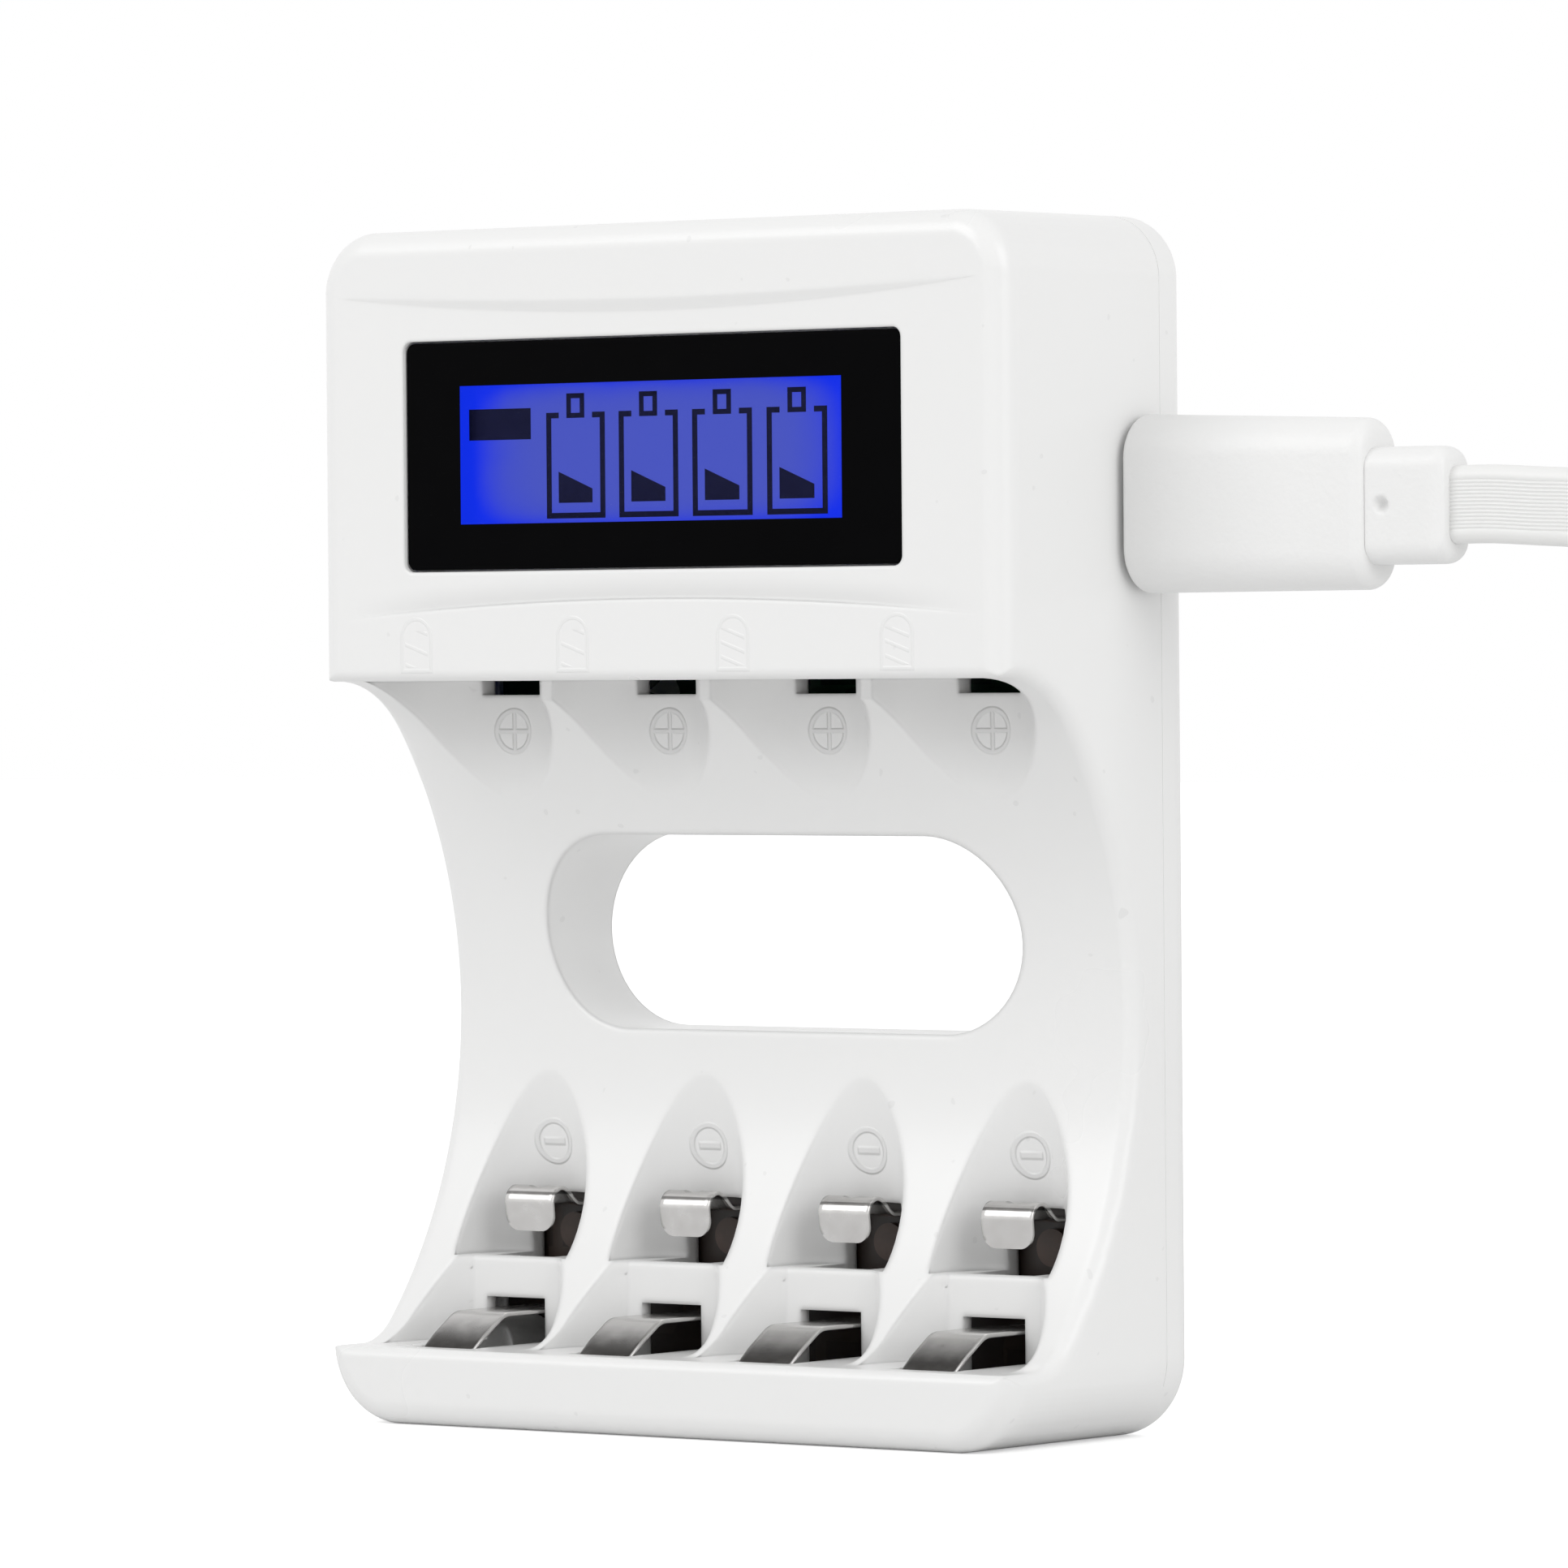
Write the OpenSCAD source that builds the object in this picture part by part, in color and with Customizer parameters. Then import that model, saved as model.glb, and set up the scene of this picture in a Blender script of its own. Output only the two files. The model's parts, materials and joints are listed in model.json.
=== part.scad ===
// Desk charger for four AA or AAA cells, with a display and a flat cable in its side socket.
// X runs across the front, Y from the front to the back, Z up; the origin is under the middle.
// Inside the modules Y is the depth behind the front face: placed() moves it to the middle.

/* [Body] */
// Width of the body
body_w = 68.4; // [68:0.1:80]
// Depth of the body from the front face to the back
body_d = 24.5; // [24.2:0.1:30]
// Height of the body
body_h = 95.6; // [95:0.1:110]
// Radius of the two upper corners seen from the front
corner_top = 4.6; // [3:0.1:6]
// Radius of the two lower corners seen from the front
corner_low = 5.2; // [3:0.1:6]
// Rounding of the edges between the faces
edge_r = 2; // [1:0.1:2.6]
// Thickness of the outer walls
wall = 1.8; // [1.4:0.1:2]
// Depth of the rear cover from the seam to the back
cover_d = 4; // [3.6:0.1:4.6]
// Shadow groove along the seam
seam = 0.3; // [0.1:0.05:0.5]

/* [Battery bay] */
// Distance between neighbouring slots
slot_pitch = 16; // [15.4:0.1:16.8]
// Height of the bay floor
bay_floor = 6.2; // [6:0.1:7]
// Distance of the bay ceiling from the top
bay_drop = 36; // [35.2:0.1:36.8]
// Distance of the bay's deepest point from the back
bay_back = 7.7; // [7.5:0.1:8.1]
// Radius of the long arc of the bay
bay_arc_r = 37.8; // [36:0.1:42]
// Radius of the arc that leads to the bay floor
bay_low_r = 5.6; // [5:0.1:6.4]
// Radius of the arc that leads to the bay ceiling
bay_top_r = 10.3; // [9:0.1:11.6]
// Rounding of the bay's edges at the front face
bay_edge_r = 0.8; // [0.4:0.1:1.2]
// Thickness of the bay walls
bay_wall = 1.1; // [0.9:0.1:1.2]

/* [Cell grooves] */
// Radius of the groove for an AA cell
aa_r = 7.6; // [7.4:0.05:7.65]
// Depth of the AA groove's axis at the ceiling
aa_axis_y = 4.9; // [4.5:0.1:5.1]
// Backward lean of the AA groove towards the floor
aa_lean = 1; // [0.8:0.1:1.2]
// Radius of the groove for an AAA cell
aaa_r = 6; // [5.6:0.05:6.1]
// Distance of the AAA groove's axis from the main board at its ledge
aaa_axis_back = 6.8; // [6.7:0.1:7.2]
// Backward lean of the AAA groove towards its ledge
aaa_lean = 9.2; // [8.6:0.1:9.6]
// Height of the ledge under the AAA groove
ledge_z = 13; // [12.6:0.1:13.4]
// Distance of the wall in front of the ledge from the main board
riser_back = 7.7; // [7.4:0.1:8]

/* [Contacts] */
// Width of the openings that the contacts pass through
window_w = 6; // [5.9:0.1:6.4]
// Sheet thickness of the contacts
sheet = 0.35; // [0.25:0.05:0.4]
// Width of the AA contact
aa_leaf_w = 5.3; // [4.8:0.1:5.4]
// Height of the top of the AA contact
aa_leaf_z = 8.8; // [8.6:0.1:9]
// Top of the opening behind the AA contact
aa_window_top = 9.7; // [9.5:0.1:10.2]
// Depth of the AA contact's front end
aa_tip_y = 3; // [2.8:0.1:3.6]
// Slope of the front half of the AA contact
aa_slope = 32; // [28:1:36]
// Width of the AAA contact
aaa_hook_w = 5; // [4.6:0.1:5.2]
// Height of the AAA contact's rear strip
aaa_strip_z = 17.1; // [16.9:0.1:17.3]
// Rise of the AAA contact's arch over its rear strip
aaa_arch_h = 1.35; // [1.1:0.05:1.5]
// Distance of the arch's highest line from the main board
aaa_arch_back = 4.65; // [4.4:0.05:4.8]
// Radius of the arch in front of its highest line
aaa_nose_r = 1.2; // [1:0.05:1.3]
// Lowest edge of the AAA contact's tab
aaa_tab_z = 15; // [14.8:0.1:15.3]
// Top of the opening behind the AAA contact
aaa_window_top = 18; // [17.9:0.1:18.4]
// Free gap round the root of a spring contact
root_gap = 0.3; // [0.2:0.05:0.4]
// How far the opening for the positive contact reaches below the bay ceiling
plus_window_drop = 1.2; // [1:0.1:1.6]
// Front edge of the positive contact
plus_front_y = 3.2; // [2.8:0.1:4]

/* [Finger slot] */
// Half of the slot's length
slot_half = 23.8; // [20:0.1:24.4]
// Height of the slot's opening
slot_h = 15.7; // [12:0.1:16]
// Height of the slot's middle over the middle of the bay
slot_rise = 6.4; // [5.2:0.1:8]
// Thickness of the slot's wall
slot_wall = 1.6; // [1.2:0.1:1.8]

/* [Display] */
// Width of the display window
window_plate_w = 49.4; // [48:0.1:50.4]
// Height of the display window
window_plate_h = 18.1; // [17.4:0.1:19]
// Thickness of the display window
window_plate_t = 1; // [0.8:0.1:1.2]
// Sideways place of the window's middle
window_plate_x = -0.4; // [-0.6:0.1:0.6]
// Distance of the window's middle from the top
window_drop = 18.1; // [17.6:0.1:18.3]
// Width of the display glass
glass_w = 44; // [42:0.1:44.6]
// Height of the display glass
glass_h = 14.8; // [14:0.1:15.2]
// Thickness of the display glass
glass_t = 2; // [1.8:0.1:2.4]
// Thickness of the light guide behind the glass
guide_t = 2.8; // [2.4:0.1:3.2]
// Clearance round the window, the glass and other laid-in pieces
fit_gap = 0.15; // [0.1:0.05:0.2]
// Depth of the sunk field round the window
field_sink = 0.4; // [0.2:0.05:0.5]

/* [Boards and screws] */
// Thickness of the circuit boards
board_t = 1.6; // [1.2:0.1:1.6]
// Distance of the cover screws from the sides
screw_side_gap = 5.6; // [5.4:0.1:5.8]
// Height of the lower cover screws
screw_low_z = 5.2; // [5.1:0.1:5.4]
// Distance of the upper cover screws from the top
screw_top_gap = 5.6; // [5.4:0.1:6]
// Radius of the screw shanks
screw_r = 1; // [0.8:0.05:1.1]
// Radius of the screw heads
screw_head_r = 1.9; // [1.7:0.05:2]
// Radius of the screw bosses
boss_r = 2.6; // [2.4:0.05:2.6]

/* [Side socket and cable plug] */
// Distance of the socket's middle from the back
port_back = 6.2; // [6.1:0.1:6.4]
// Distance of the socket's middle from the top
port_drop = 22.6; // [20.6:0.1:24.6]
// Height of the plug's metal shell
shell_h = 6.9; // [6.6:0.1:7]
// Thickness of the plug's metal shell
shell_t = 1.85; // [1.7:0.05:1.9]
// Wall of the socket round the shell
socket_wall = 0.3; // [0.25:0.05:0.35]
// Length of the socket
socket_l = 5.6; // [5:0.1:6]
// Height of the moulded plug at the charger
plug_h = 13.9; // [12:0.1:15]
// Thickness of the moulded plug at the charger
plug_t = 7; // [6:0.1:7.4]
// Length of the moulded plug
plug_l = 21.8; // [18:0.1:24]
// Gap between the body's side and the plug
plug_gap = 0.5; // [0.3:0.1:1]
// Height of the strain relief
relief_h = 9; // [8:0.1:10]
// Thickness of the strain relief
relief_t = 4.2; // [3.6:0.1:4.6]
// Length of the strain relief
relief_l = 7; // [5:0.1:9]

/* [Cable] */
// Width of the flat cable
cable_w = 6; // [5.6:0.1:6.4]
// Thickness of the flat cable
cable_t = 2; // [1.8:0.1:2.2]
// Length of the metal shell of the far plug
far_shell_l = 12; // [11:0.5:13]
// Length of the moulded body of the far plug
far_plug_l = 18; // [16:0.5:19]

/* [Hidden] */
$fn = 96;

// Reach of a cut past the surface that it opens
over = 1;
// Smallest rounding of an inner corner
least_r = 0.3;
// How far the bay's corner arcs reach past the faces that they run into
arc_lap = 0.02;
// Sideways places of the four slots
SLOTS = [-1.5, -0.5, 0.5, 1.5];
white = "whitesmoke";
nickel = "silver";
board_green = "darkgreen";

// Heights that follow from the top
bay_ceiling = body_h - bay_drop;
window_plate_z = body_h - window_drop;
port_z = body_h - port_drop;
field_upper_z = body_h - 7;
field_lower_z = body_h - 29.6;

// Arcs of the bay seen from the side: the corner arcs touch the long arc from inside
bay_depth = body_d - bay_back;
bay_mid_z = (bay_floor + bay_ceiling) / 2;
bay_half_h = (bay_ceiling - bay_floor) / 2;
arc_y = bay_depth - bay_arc_r;

// Depths of what is stacked behind the front
cover_y = body_d - cover_d;
port_y = body_d - port_back;
window_plate_y = field_sink + 0.05;
shelf_y = window_plate_y + window_plate_t;
glass_y = shelf_y + fit_gap;
guide_y = glass_y + glass_t;
display_board_y = guide_y + guide_t;
link_y = display_board_y + board_t;
socket_t = shell_t + 2 * (socket_wall + fit_gap / 2);
socket_h = shell_h + 2 * (socket_wall + fit_gap / 2);
board_y = port_y + socket_t / 2;
board_back_y = board_y + board_t;
root_y = board_y - root_gap;
aaa_axis_y = board_y - aaa_axis_back;
riser_y = board_y - riser_back;
aaa_arch_y = board_y - aaa_arch_back;

// Edges of the glass and the boards
window_r = 0.8;
frame_w = 1.3;
frame_y = shelf_y + 1.2;
rubber_h = 1.8;
rubber_gap = 0.4;
guide_h = glass_h - rubber_h - rubber_gap;
display_board_w = 48;
display_board_h = 24;
display_post_x = 21.6;
display_post_z = 10.4;
display_post_r = 1.5;
display_screw_r = 0.6;
display_screw_y = 4.2;
display_head_r = 1.2;
display_head_t = 1;
tongue_t = 1;
tongue_d = 1.2;
tongue_inset = wall + fit_gap;
board_inset = tongue_inset + tongue_t + 0.2;
slot_r = slot_h / 2;
slot_z = bay_mid_z + slot_rise;
plus_window_z = bay_ceiling - plus_window_drop;
screw_x = body_w / 2 - screw_side_gap;
screw_top_z = body_h - screw_top_gap;
SCREWS = [
    [-screw_x, screw_low_z], [screw_x, screw_low_z],
    [-screw_x, screw_top_z], [screw_x, screw_top_z]
];
screw_head_t = 1.4;
screw_head_y = body_d - screw_head_t - 0.5;
pilot_y = board_y - 6.6;
bore_gap = 0.1;

// Outlines of the spring contacts seen from the side, from their roots to their free ends
leaf_mid_z = aa_leaf_z - sheet / 2;
leaf_bend_r = 2.5;
leaf_curl_r = 0.9;
leaf_curl_end = 200;
leaf_bend_y = 8;
leaf_bend = arc([leaf_bend_y, leaf_mid_z - leaf_bend_r], leaf_bend_r, 90, 90 + aa_slope, 6);
leaf_curl_y = aa_tip_y + sheet / 2 + leaf_curl_r;
leaf_curl_start_y = leaf_curl_y + leaf_curl_r * cos(90 + aa_slope);
leaf_run_dz = (leaf_bend[6].x - leaf_curl_start_y) * tan(aa_slope);
leaf_curl_z = leaf_bend[6].y - leaf_run_dz - leaf_curl_r * sin(90 + aa_slope);
AA_PATH = concat(
    [[root_y, leaf_mid_z]],
    leaf_bend,
    arc([leaf_curl_y, leaf_curl_z], leaf_curl_r, 90 + aa_slope, leaf_curl_end, 6)
);

hook_arch_run = 2.45;
hook_valley_y = aaa_arch_y + hook_arch_run;
hook_top_z = aaa_strip_z + aaa_arch_h;
hook_nose_y = aaa_arch_y - aaa_nose_r;
HOOK_PATH = concat(
    [[root_y, aaa_strip_z]],
    [for (i = [0:8]) [
        hook_valley_y + (aaa_arch_y - hook_valley_y) * i / 8,
        aaa_strip_z + aaa_arch_h * (1 - cos(180 * i / 8)) / 2
    ]],
    [for (p = arc([aaa_arch_y, hook_top_z - aaa_nose_r], aaa_nose_r, 90, 180, 8)) if (p.x < aaa_arch_y) p],
    [[hook_nose_y + 0.25, aaa_tab_z]]
);

plus_mid_z = bay_ceiling + sheet / 2;
plus_fold_h = 3;
PLUS_PATH = concat(
    [[plus_front_y + sheet / 2, plus_mid_z + plus_fold_h]],
    arc([plus_front_y + sheet / 2 + 0.6, plus_mid_z + 0.6], 0.6, 180, 270, 4),
    [[board_y, plus_mid_z]]
);

// Places along the plug in the side socket
side_x = body_w / 2;
plug_x = side_x + plug_gap;
relief_x = plug_x + plug_l;
cable_x = relief_x + relief_l;
relief_z = port_z - 0.5;
plug_far_h = plug_h - 0.7;
plug_far_t = plug_t - 1.2;

// Corners of the cable's section
sides = 8;

// Coil of spare cable that stands on its edge on the floor beside the charger
coil_turns = 2.5;
coil_pitch = 2.12;
coil_out_r = 32.7;
coil_in_r = coil_out_r - coil_pitch * coil_turns;
coil_x = cable_x + 40.7;
coil_y = port_y + 16.8;
tie_gap = 0.2;
tie_turn = -45;

// The cable's drop to the coil: steps to the side and to the back, and the share of the height that is left
DROP = [
    [0, 0, 1], [3.5, 0, 1], [7.5, 0, 0.997], [11.5, 0, 0.993],
    [15.1, 0.6, 0.981], [18, 2.3, 0.95], [19.8, 5.1, 0.9], [20.4, 8.7, 0.835],
    [20.2, 12.4, 0.761], [19.4, 16, 0.68], [18.3, 19.4, 0.594], [17, 22.6, 0.502],
    [15.5, 25.6, 0.407], [13.8, 28.2, 0.315], [11.8, 30, 0.225], [9.8, 30.4, 0.14],
    [8.4, 28.8, 0.069], [8, 25.2, 0.02], [8, 20.8, 0.001], [8, 16.8, 0]
];
ROUTE = [for (p = DROP) [cable_x + p.x, port_y + p.y, cable_w / 2 + p.z * (relief_z - cable_w / 2)]];
// Directions of the cable's wide side at the same points: upright, along Y, along X, upright
ROUTE_WIDE = [
    [0, 0, 1], [0, 0, 1], [0, 0, 1], [0, 0.1, 1],
    [0, 0.3, 1], [0, 0.7, 0.8], [-0.2, 1, 0.5], [-0.2, 1, 0.3],
    [0, 1, 0.2], [0.2, 1, 0], [0.5, 1, 0], [0.8, 0.8, 0],
    [1, 0.5, 0], [1, 0.2, 0], [1, 0, 0], [1, 0, 0],
    [1, 0, 0], [1, 0, 0.1], [1, 0, 0.8], [0, 0, 1]
];

// Route of the tail from the inner turn to the far plug, and its wide side
TAIL_STEPS = [[0, 0, 0], [-0.8, 5.1, 0.2], [-3, 8.8, 0.6], [-6.4, 11.6, 1], [-10.5, 13, 1], [-14.9, 12.8, 1]];
TAIL = [for (p = TAIL_STEPS) [coil_x + coil_in_r, coil_y, cable_w / 2] + p];
TAIL_WIDE = [[0, 0, 1], [0.2, 0, 1], [0.6, 0.4, 0.8], [0.6, 1, 0.5], [0, 1, 0.1], [0, 1, 0]];
far_turn = 192;
far_plug_h = 8;
far_plug_w = 15.6;
far_shell_h = 4.5;
far_shell_w = 12;

function arc(c, r, a, b, n) = [for (i = [0:n]) c + r * [cos(a + (b - a) * i / n), sin(a + (b - a) * i / n)]];
function unit(v) = v / norm(v);
function heading(p, i) = unit(p[min(i + 1, len(p) - 1)] - p[max(i - 1, 0)]);
function beside(p, d) = [for (i = [0:len(p) - 1]) let (h = heading(p, i)) p[i] + d * [-h.y, h.x]];
function flipped(v) = [for (i = [len(v) - 1:-1:0]) v[i]];

module placed() {
    translate([0, -body_d / 2, 0]) children();
}

// Outline in depth and height, drawn through the whole width
module across(w) {
    rotate([90, 0, 90]) linear_extrude(w, center = true) children();
}

// Outline in width and height, drawn from one depth to another
module through(from, to) {
    translate([0, to, 0]) rotate([90, 0, 0]) linear_extrude(to - from) children();
}

// Rod along the depth
module rod(x, z, r, from, to) {
    translate([x, to, z]) rotate([90, 0, 0]) cylinder(r = r, h = to - from);
}

// What a rounded corner takes away from a corner at the origin
module corner_waste(r) {
    difference() {
        translate([-over, -over]) square(r + over);
        translate([r, r]) circle(r);
    }
}

// Rectangle whose corners have their own radii: lower left, lower right, upper right, upper left
module rounded(x, y, w, h, radii) {
    difference() {
        translate([x, y]) square([w, h]);
        translate([x, y]) corner_waste(radii[0]);
        translate([x + w, y]) mirror([1, 0]) corner_waste(radii[1]);
        translate([x + w, y + h]) rotate(180) corner_waste(radii[2]);
        translate([x, y + h]) mirror([0, 1]) corner_waste(radii[3]);
    }
}

module stadium(half, r) {
    square([2 * (half - r), 2 * r], center = true);
    for (s = [-1, 1]) translate([s * (half - r), 0]) circle(r);
}

// Middle of a corner arc seen from the middle of the long arc, which it meets from inside
function corner_dz(r) = bay_half_h - r + arc_lap;
function corner_dy(r) = sqrt(pow(bay_arc_r - r + arc_lap, 2) - pow(corner_dz(r), 2));

// The bay seen from the side: a long arc that turns into the floor and the ceiling
module bay_outline(grow) {
    far = 2 * bay_arc_r;
    half = bay_half_h + grow;
    low = [corner_dy(bay_low_r), -corner_dz(bay_low_r)];
    top = [corner_dy(bay_top_r), corner_dz(bay_top_r)];
    translate([arc_y, bay_mid_z]) {
        polygon([
            [-far, -half], [low.x, -half], low, [bay_arc_r - bay_top_r, 0], top, [top.x, half], [-far, half]
        ]);
        intersection() {
            circle(bay_arc_r + grow);
            polygon([[0, 0], 2 * low, 2 * top]);
        }
        translate(low) circle(bay_low_r + grow);
        translate(top) circle(bay_top_r + grow);
    }
}

// Material behind the cell grooves seen from the side
module groove_backing() {
    aa_back = aa_axis_y + aa_r + bay_wall;
    aaa_back = aaa_axis_y + aaa_r + bay_wall;
    aaa_height = 16;
    aaa_top_z = ledge_z + aaa_height;
    translate([0, bay_ceiling - aa_r]) square([aa_back, aa_r + bay_wall]);
    translate([0, bay_floor - bay_wall]) square([riser_y + bay_wall, ledge_z - bay_floor]);
    polygon([
        [riser_y, ledge_z - bay_wall], [root_y, ledge_z - bay_wall], [root_y, aaa_window_top - 0.5],
        [aaa_back - aaa_height * tan(aaa_lean), aaa_top_z], [riser_y, aaa_top_z]
    ]);
}

// The body seen from the front, made smaller all round by the inset
module front_outline(inset) {
    top = max(corner_top - inset, least_r);
    low = max(corner_low - inset, least_r);
    rounded(-body_w / 2 + inset, inset, body_w - 2 * inset, body_h - 2 * inset, [low, low, top, top]);
}

// Ring along the inside of the outer walls
module wall_ring(from, to, outer, inner) {
    through(from, to) difference() {
        front_outline(outer);
        front_outline(inner);
    }
}

// The body's outer form, or with an inset the hollow inside its walls
module envelope(inset, bay_inset) {
    r = max(edge_r - inset, least_r);
    w = body_w - 2 * inset;
    d = body_d - 2 * inset;
    h = body_h - 2 * inset;
    intersection() {
        through(0, body_d) front_outline(inset);
        across(body_w) difference() {
            rounded(inset, inset, d, h, [r, r, r, r]);
            bay_outline(bay_inset);
            if (inset == 0) {
                translate([0, bay_ceiling]) corner_waste(bay_edge_r);
                translate([0, bay_floor]) mirror([0, 1]) corner_waste(bay_edge_r);
            }
            else groove_backing();
        }
        linear_extrude(body_h) rounded(-w / 2, inset, w, d, [r, r, r, r]);
    }
}

// Space that an AA cell lies in, cut short by the riser in front of the ledge
module aa_groove() {
    difference() {
        intersection() {
            translate([0, aa_axis_y, bay_ceiling]) rotate([aa_lean, 0, 0])
                translate([0, 0, -body_h]) cylinder(r = aa_r, h = body_h + 3 * aa_r);
            translate([-slot_pitch, -aa_r, bay_floor])
                cube([2 * slot_pitch, 4 * aa_r, bay_ceiling - bay_floor]);
        }
        translate([-slot_pitch, riser_y, 0]) cube([2 * slot_pitch, 2 * aa_r, ledge_z]);
    }
}

// Space that an AAA cell lies in, down to the ledge
module aaa_groove() {
    reach = 5 * aaa_r;
    intersection() {
        translate([0, aaa_axis_y, ledge_z]) rotate([aaa_lean, 0, 0])
            translate([0, 0, -aaa_r]) cylinder(r = aaa_r, h = reach + aaa_r);
        translate([-slot_pitch, -over, ledge_z]) cube([2 * slot_pitch, 2 * body_d, reach - aaa_r]);
    }
}

// Openings that the contacts of one slot pass through
module contact_windows() {
    half = window_w / 2;
    // Behind the AA contact and in the floor under it
    translate([-half, riser_y - over, bay_floor - over])
        cube([window_w, bay_wall + 2 * over, aa_window_top - bay_floor + over]);
    translate([-half, aa_tip_y - 2 * root_gap, bay_floor - bay_wall - over])
        cube([window_w, riser_y + bay_wall + over - aa_tip_y, bay_wall + 2 * over]);
    // Behind the AAA contact and in the ledge under it
    translate([-half, hook_nose_y - 2 * root_gap, ledge_z - bay_wall - over])
        cube([window_w, board_y - hook_nose_y + 2 * root_gap, aaa_window_top - ledge_z + bay_wall + over]);
    // Over the positive contact
    translate([-half, plus_front_y - root_gap, plus_window_z])
        cube([window_w, 3 * aa_r, bay_ceiling - plus_window_z + bay_wall + over]);
}

// Sunk field round the window between two long arcs, deepest in the middle
module sunk_field() {
    half = 32;
    upper_r = 285;
    lower_r = 342;
    floor_r = (half * half + field_sink * field_sink) / (2 * field_sink);
    intersection() {
        through(-over, field_sink + over) difference() {
            translate([-half, field_lower_z - 2 * over])
                square([2 * half, field_upper_z - field_lower_z + 4 * over]);
            translate([0, field_upper_z + upper_r]) circle(upper_r, $fn = 720);
            translate([0, field_lower_z - lower_r]) circle(lower_r, $fn = 720);
        }
        translate([0, field_sink - floor_r, field_lower_z - 3 * over])
            cylinder(r = floor_r, h = field_upper_z - field_lower_z + 6 * over, $fn = 1440);
    }
}

module window_form(grow) {
    translate([window_plate_x, window_plate_z])
        rounded(
            -window_plate_w / 2 - grow, -window_plate_h / 2 - grow,
            window_plate_w + 2 * grow, window_plate_h + 2 * grow, [window_r, window_r, window_r, window_r]
        );
}

module glass_form(w, h, grow) {
    translate([window_plate_x, window_plate_z]) square([w + 2 * grow, h + 2 * grow], center = true);
}

module port_form(grow) {
    r = socket_wall + 0.1 + grow;
    translate([port_y, port_z])
        rounded(-socket_t / 2 - grow, -socket_h / 2 - grow, socket_t + 2 * grow, socket_h + 2 * grow, [r, r, r, r]);
}

module finger_slot(grow, from, to) {
    through(from, to) translate([0, slot_z]) stadium(slot_half + grow, slot_r + grow);
}

// Rods at the four places where the display board is screwed down
module display_rods(r, from, to) {
    for (s = [-1, 1], t = [-1, 1])
        rod(window_plate_x + s * display_post_x, window_plate_z + t * display_post_z, r, from, to);
}

module front_housing() {
    color(white) placed() difference() {
        union() {
            difference() {
                envelope(0, 0);
                difference() {
                    envelope(wall, bay_wall);
                    finger_slot(slot_wall, 0, body_d);
                }
            }
            for (p = SCREWS) rod(p.x, p.y, boss_r, p.y > slot_z ? wall / 2 : riser_y + bay_wall / 2, board_y);
            through(wall / 2, frame_y) window_form(frame_w);
            display_rods(display_post_r, wall / 2, display_board_y);
        }
        translate([-body_w, cover_y, -over]) cube([2 * body_w, body_d, body_h + 2 * over]);
        finger_slot(0, -over, body_d);
        for (s = SLOTS) translate([s * slot_pitch, 0, 0]) {
            aa_groove();
            aaa_groove();
            contact_windows();
        }
        sunk_field();
        through(-over, shelf_y) window_form(fit_gap);
        through(0, frame_y + over) glass_form(glass_w, glass_h, fit_gap);
        translate([side_x - wall / 2, 0, 0]) across(3 * wall) port_form(fit_gap);
        for (p = SCREWS) rod(p.x, p.y, screw_r + bore_gap / 2, pilot_y, board_y + over);
        display_rods(display_screw_r + bore_gap / 2, display_screw_y - over / 2, display_board_y + over);
    }
}

// The cover's tongue reaches into the housing all round
module rear_cover() {
    step = tongue_inset + tongue_t;
    color(white) placed() difference() {
        union() {
            difference() {
                envelope(0, 0);
                translate([-body_w, -over, -over]) cube([2 * body_w, cover_y + over, body_h + 2 * over]);
                wall_ring(cover_y - over, cover_y + seam, -over, seam);
                envelope(wall, bay_wall);
            }
            wall_ring(cover_y - tongue_d, cover_y + tongue_t, tongue_inset, step);
            wall_ring(cover_y, cover_y + tongue_t, wall / 2, step);
            finger_slot(slot_wall, cover_y, body_d - wall / 2);
            for (p = SCREWS) rod(p.x, p.y, boss_r, board_back_y, body_d - wall / 2);
        }
        finger_slot(0, 0, body_d + over);
        for (p = SCREWS) {
            rod(p.x, p.y, boss_r + fit_gap, 0, board_y + fit_gap);
            rod(p.x, p.y, screw_r + bore_gap, 0, body_d + over);
            rod(p.x, p.y, screw_head_r + bore_gap, screw_head_y, body_d + over);
        }
        translate([side_x - 2 * wall, 0, port_z - socket_h / 2 - tongue_t / 2])
            cube([4 * wall, cover_y - fit_gap, socket_h + tongue_t]);
    }
}

module display_window() {
    color("black") placed() through(window_plate_y, shelf_y) window_form(0);
}

module display_glass() {
    color("royalblue") placed() through(glass_y, guide_y) glass_form(glass_w, glass_h, 0);
}

module light_guide() {
    color("white") placed() translate([0, 0, (glass_h - guide_h) / 2])
        through(guide_y, display_board_y) glass_form(glass_w, guide_h, 0);
}

module contact_rubber() {
    color("pink") placed() translate([0, 0, (rubber_h - glass_h) / 2])
        through(guide_y, display_board_y) glass_form(glass_w - 4 * rubber_h, rubber_h, 0);
}

module display_board() {
    color(board_green) placed() difference() {
        through(display_board_y, link_y) translate([window_plate_x, window_plate_z])
            square([display_board_w, display_board_h], center = true);
        display_rods(display_screw_r + bore_gap, 0, body_d);
    }
}

module board_link() {
    link_w = 20;
    link_h = 2.5;
    color("dimgray") placed() through(link_y, board_y)
        translate([window_plate_x - link_w / 2, window_plate_z + display_post_z - 2 * link_h])
        square([link_w, link_h]);
}

module main_board() {
    color(board_green) placed() difference() {
        through(board_y, board_back_y) front_outline(board_inset);
        finger_slot(slot_wall + 2 * fit_gap, 0, body_d);
        for (p = SCREWS) rod(p.x, p.y, screw_r + bore_gap, 0, body_d);
    }
}

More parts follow.
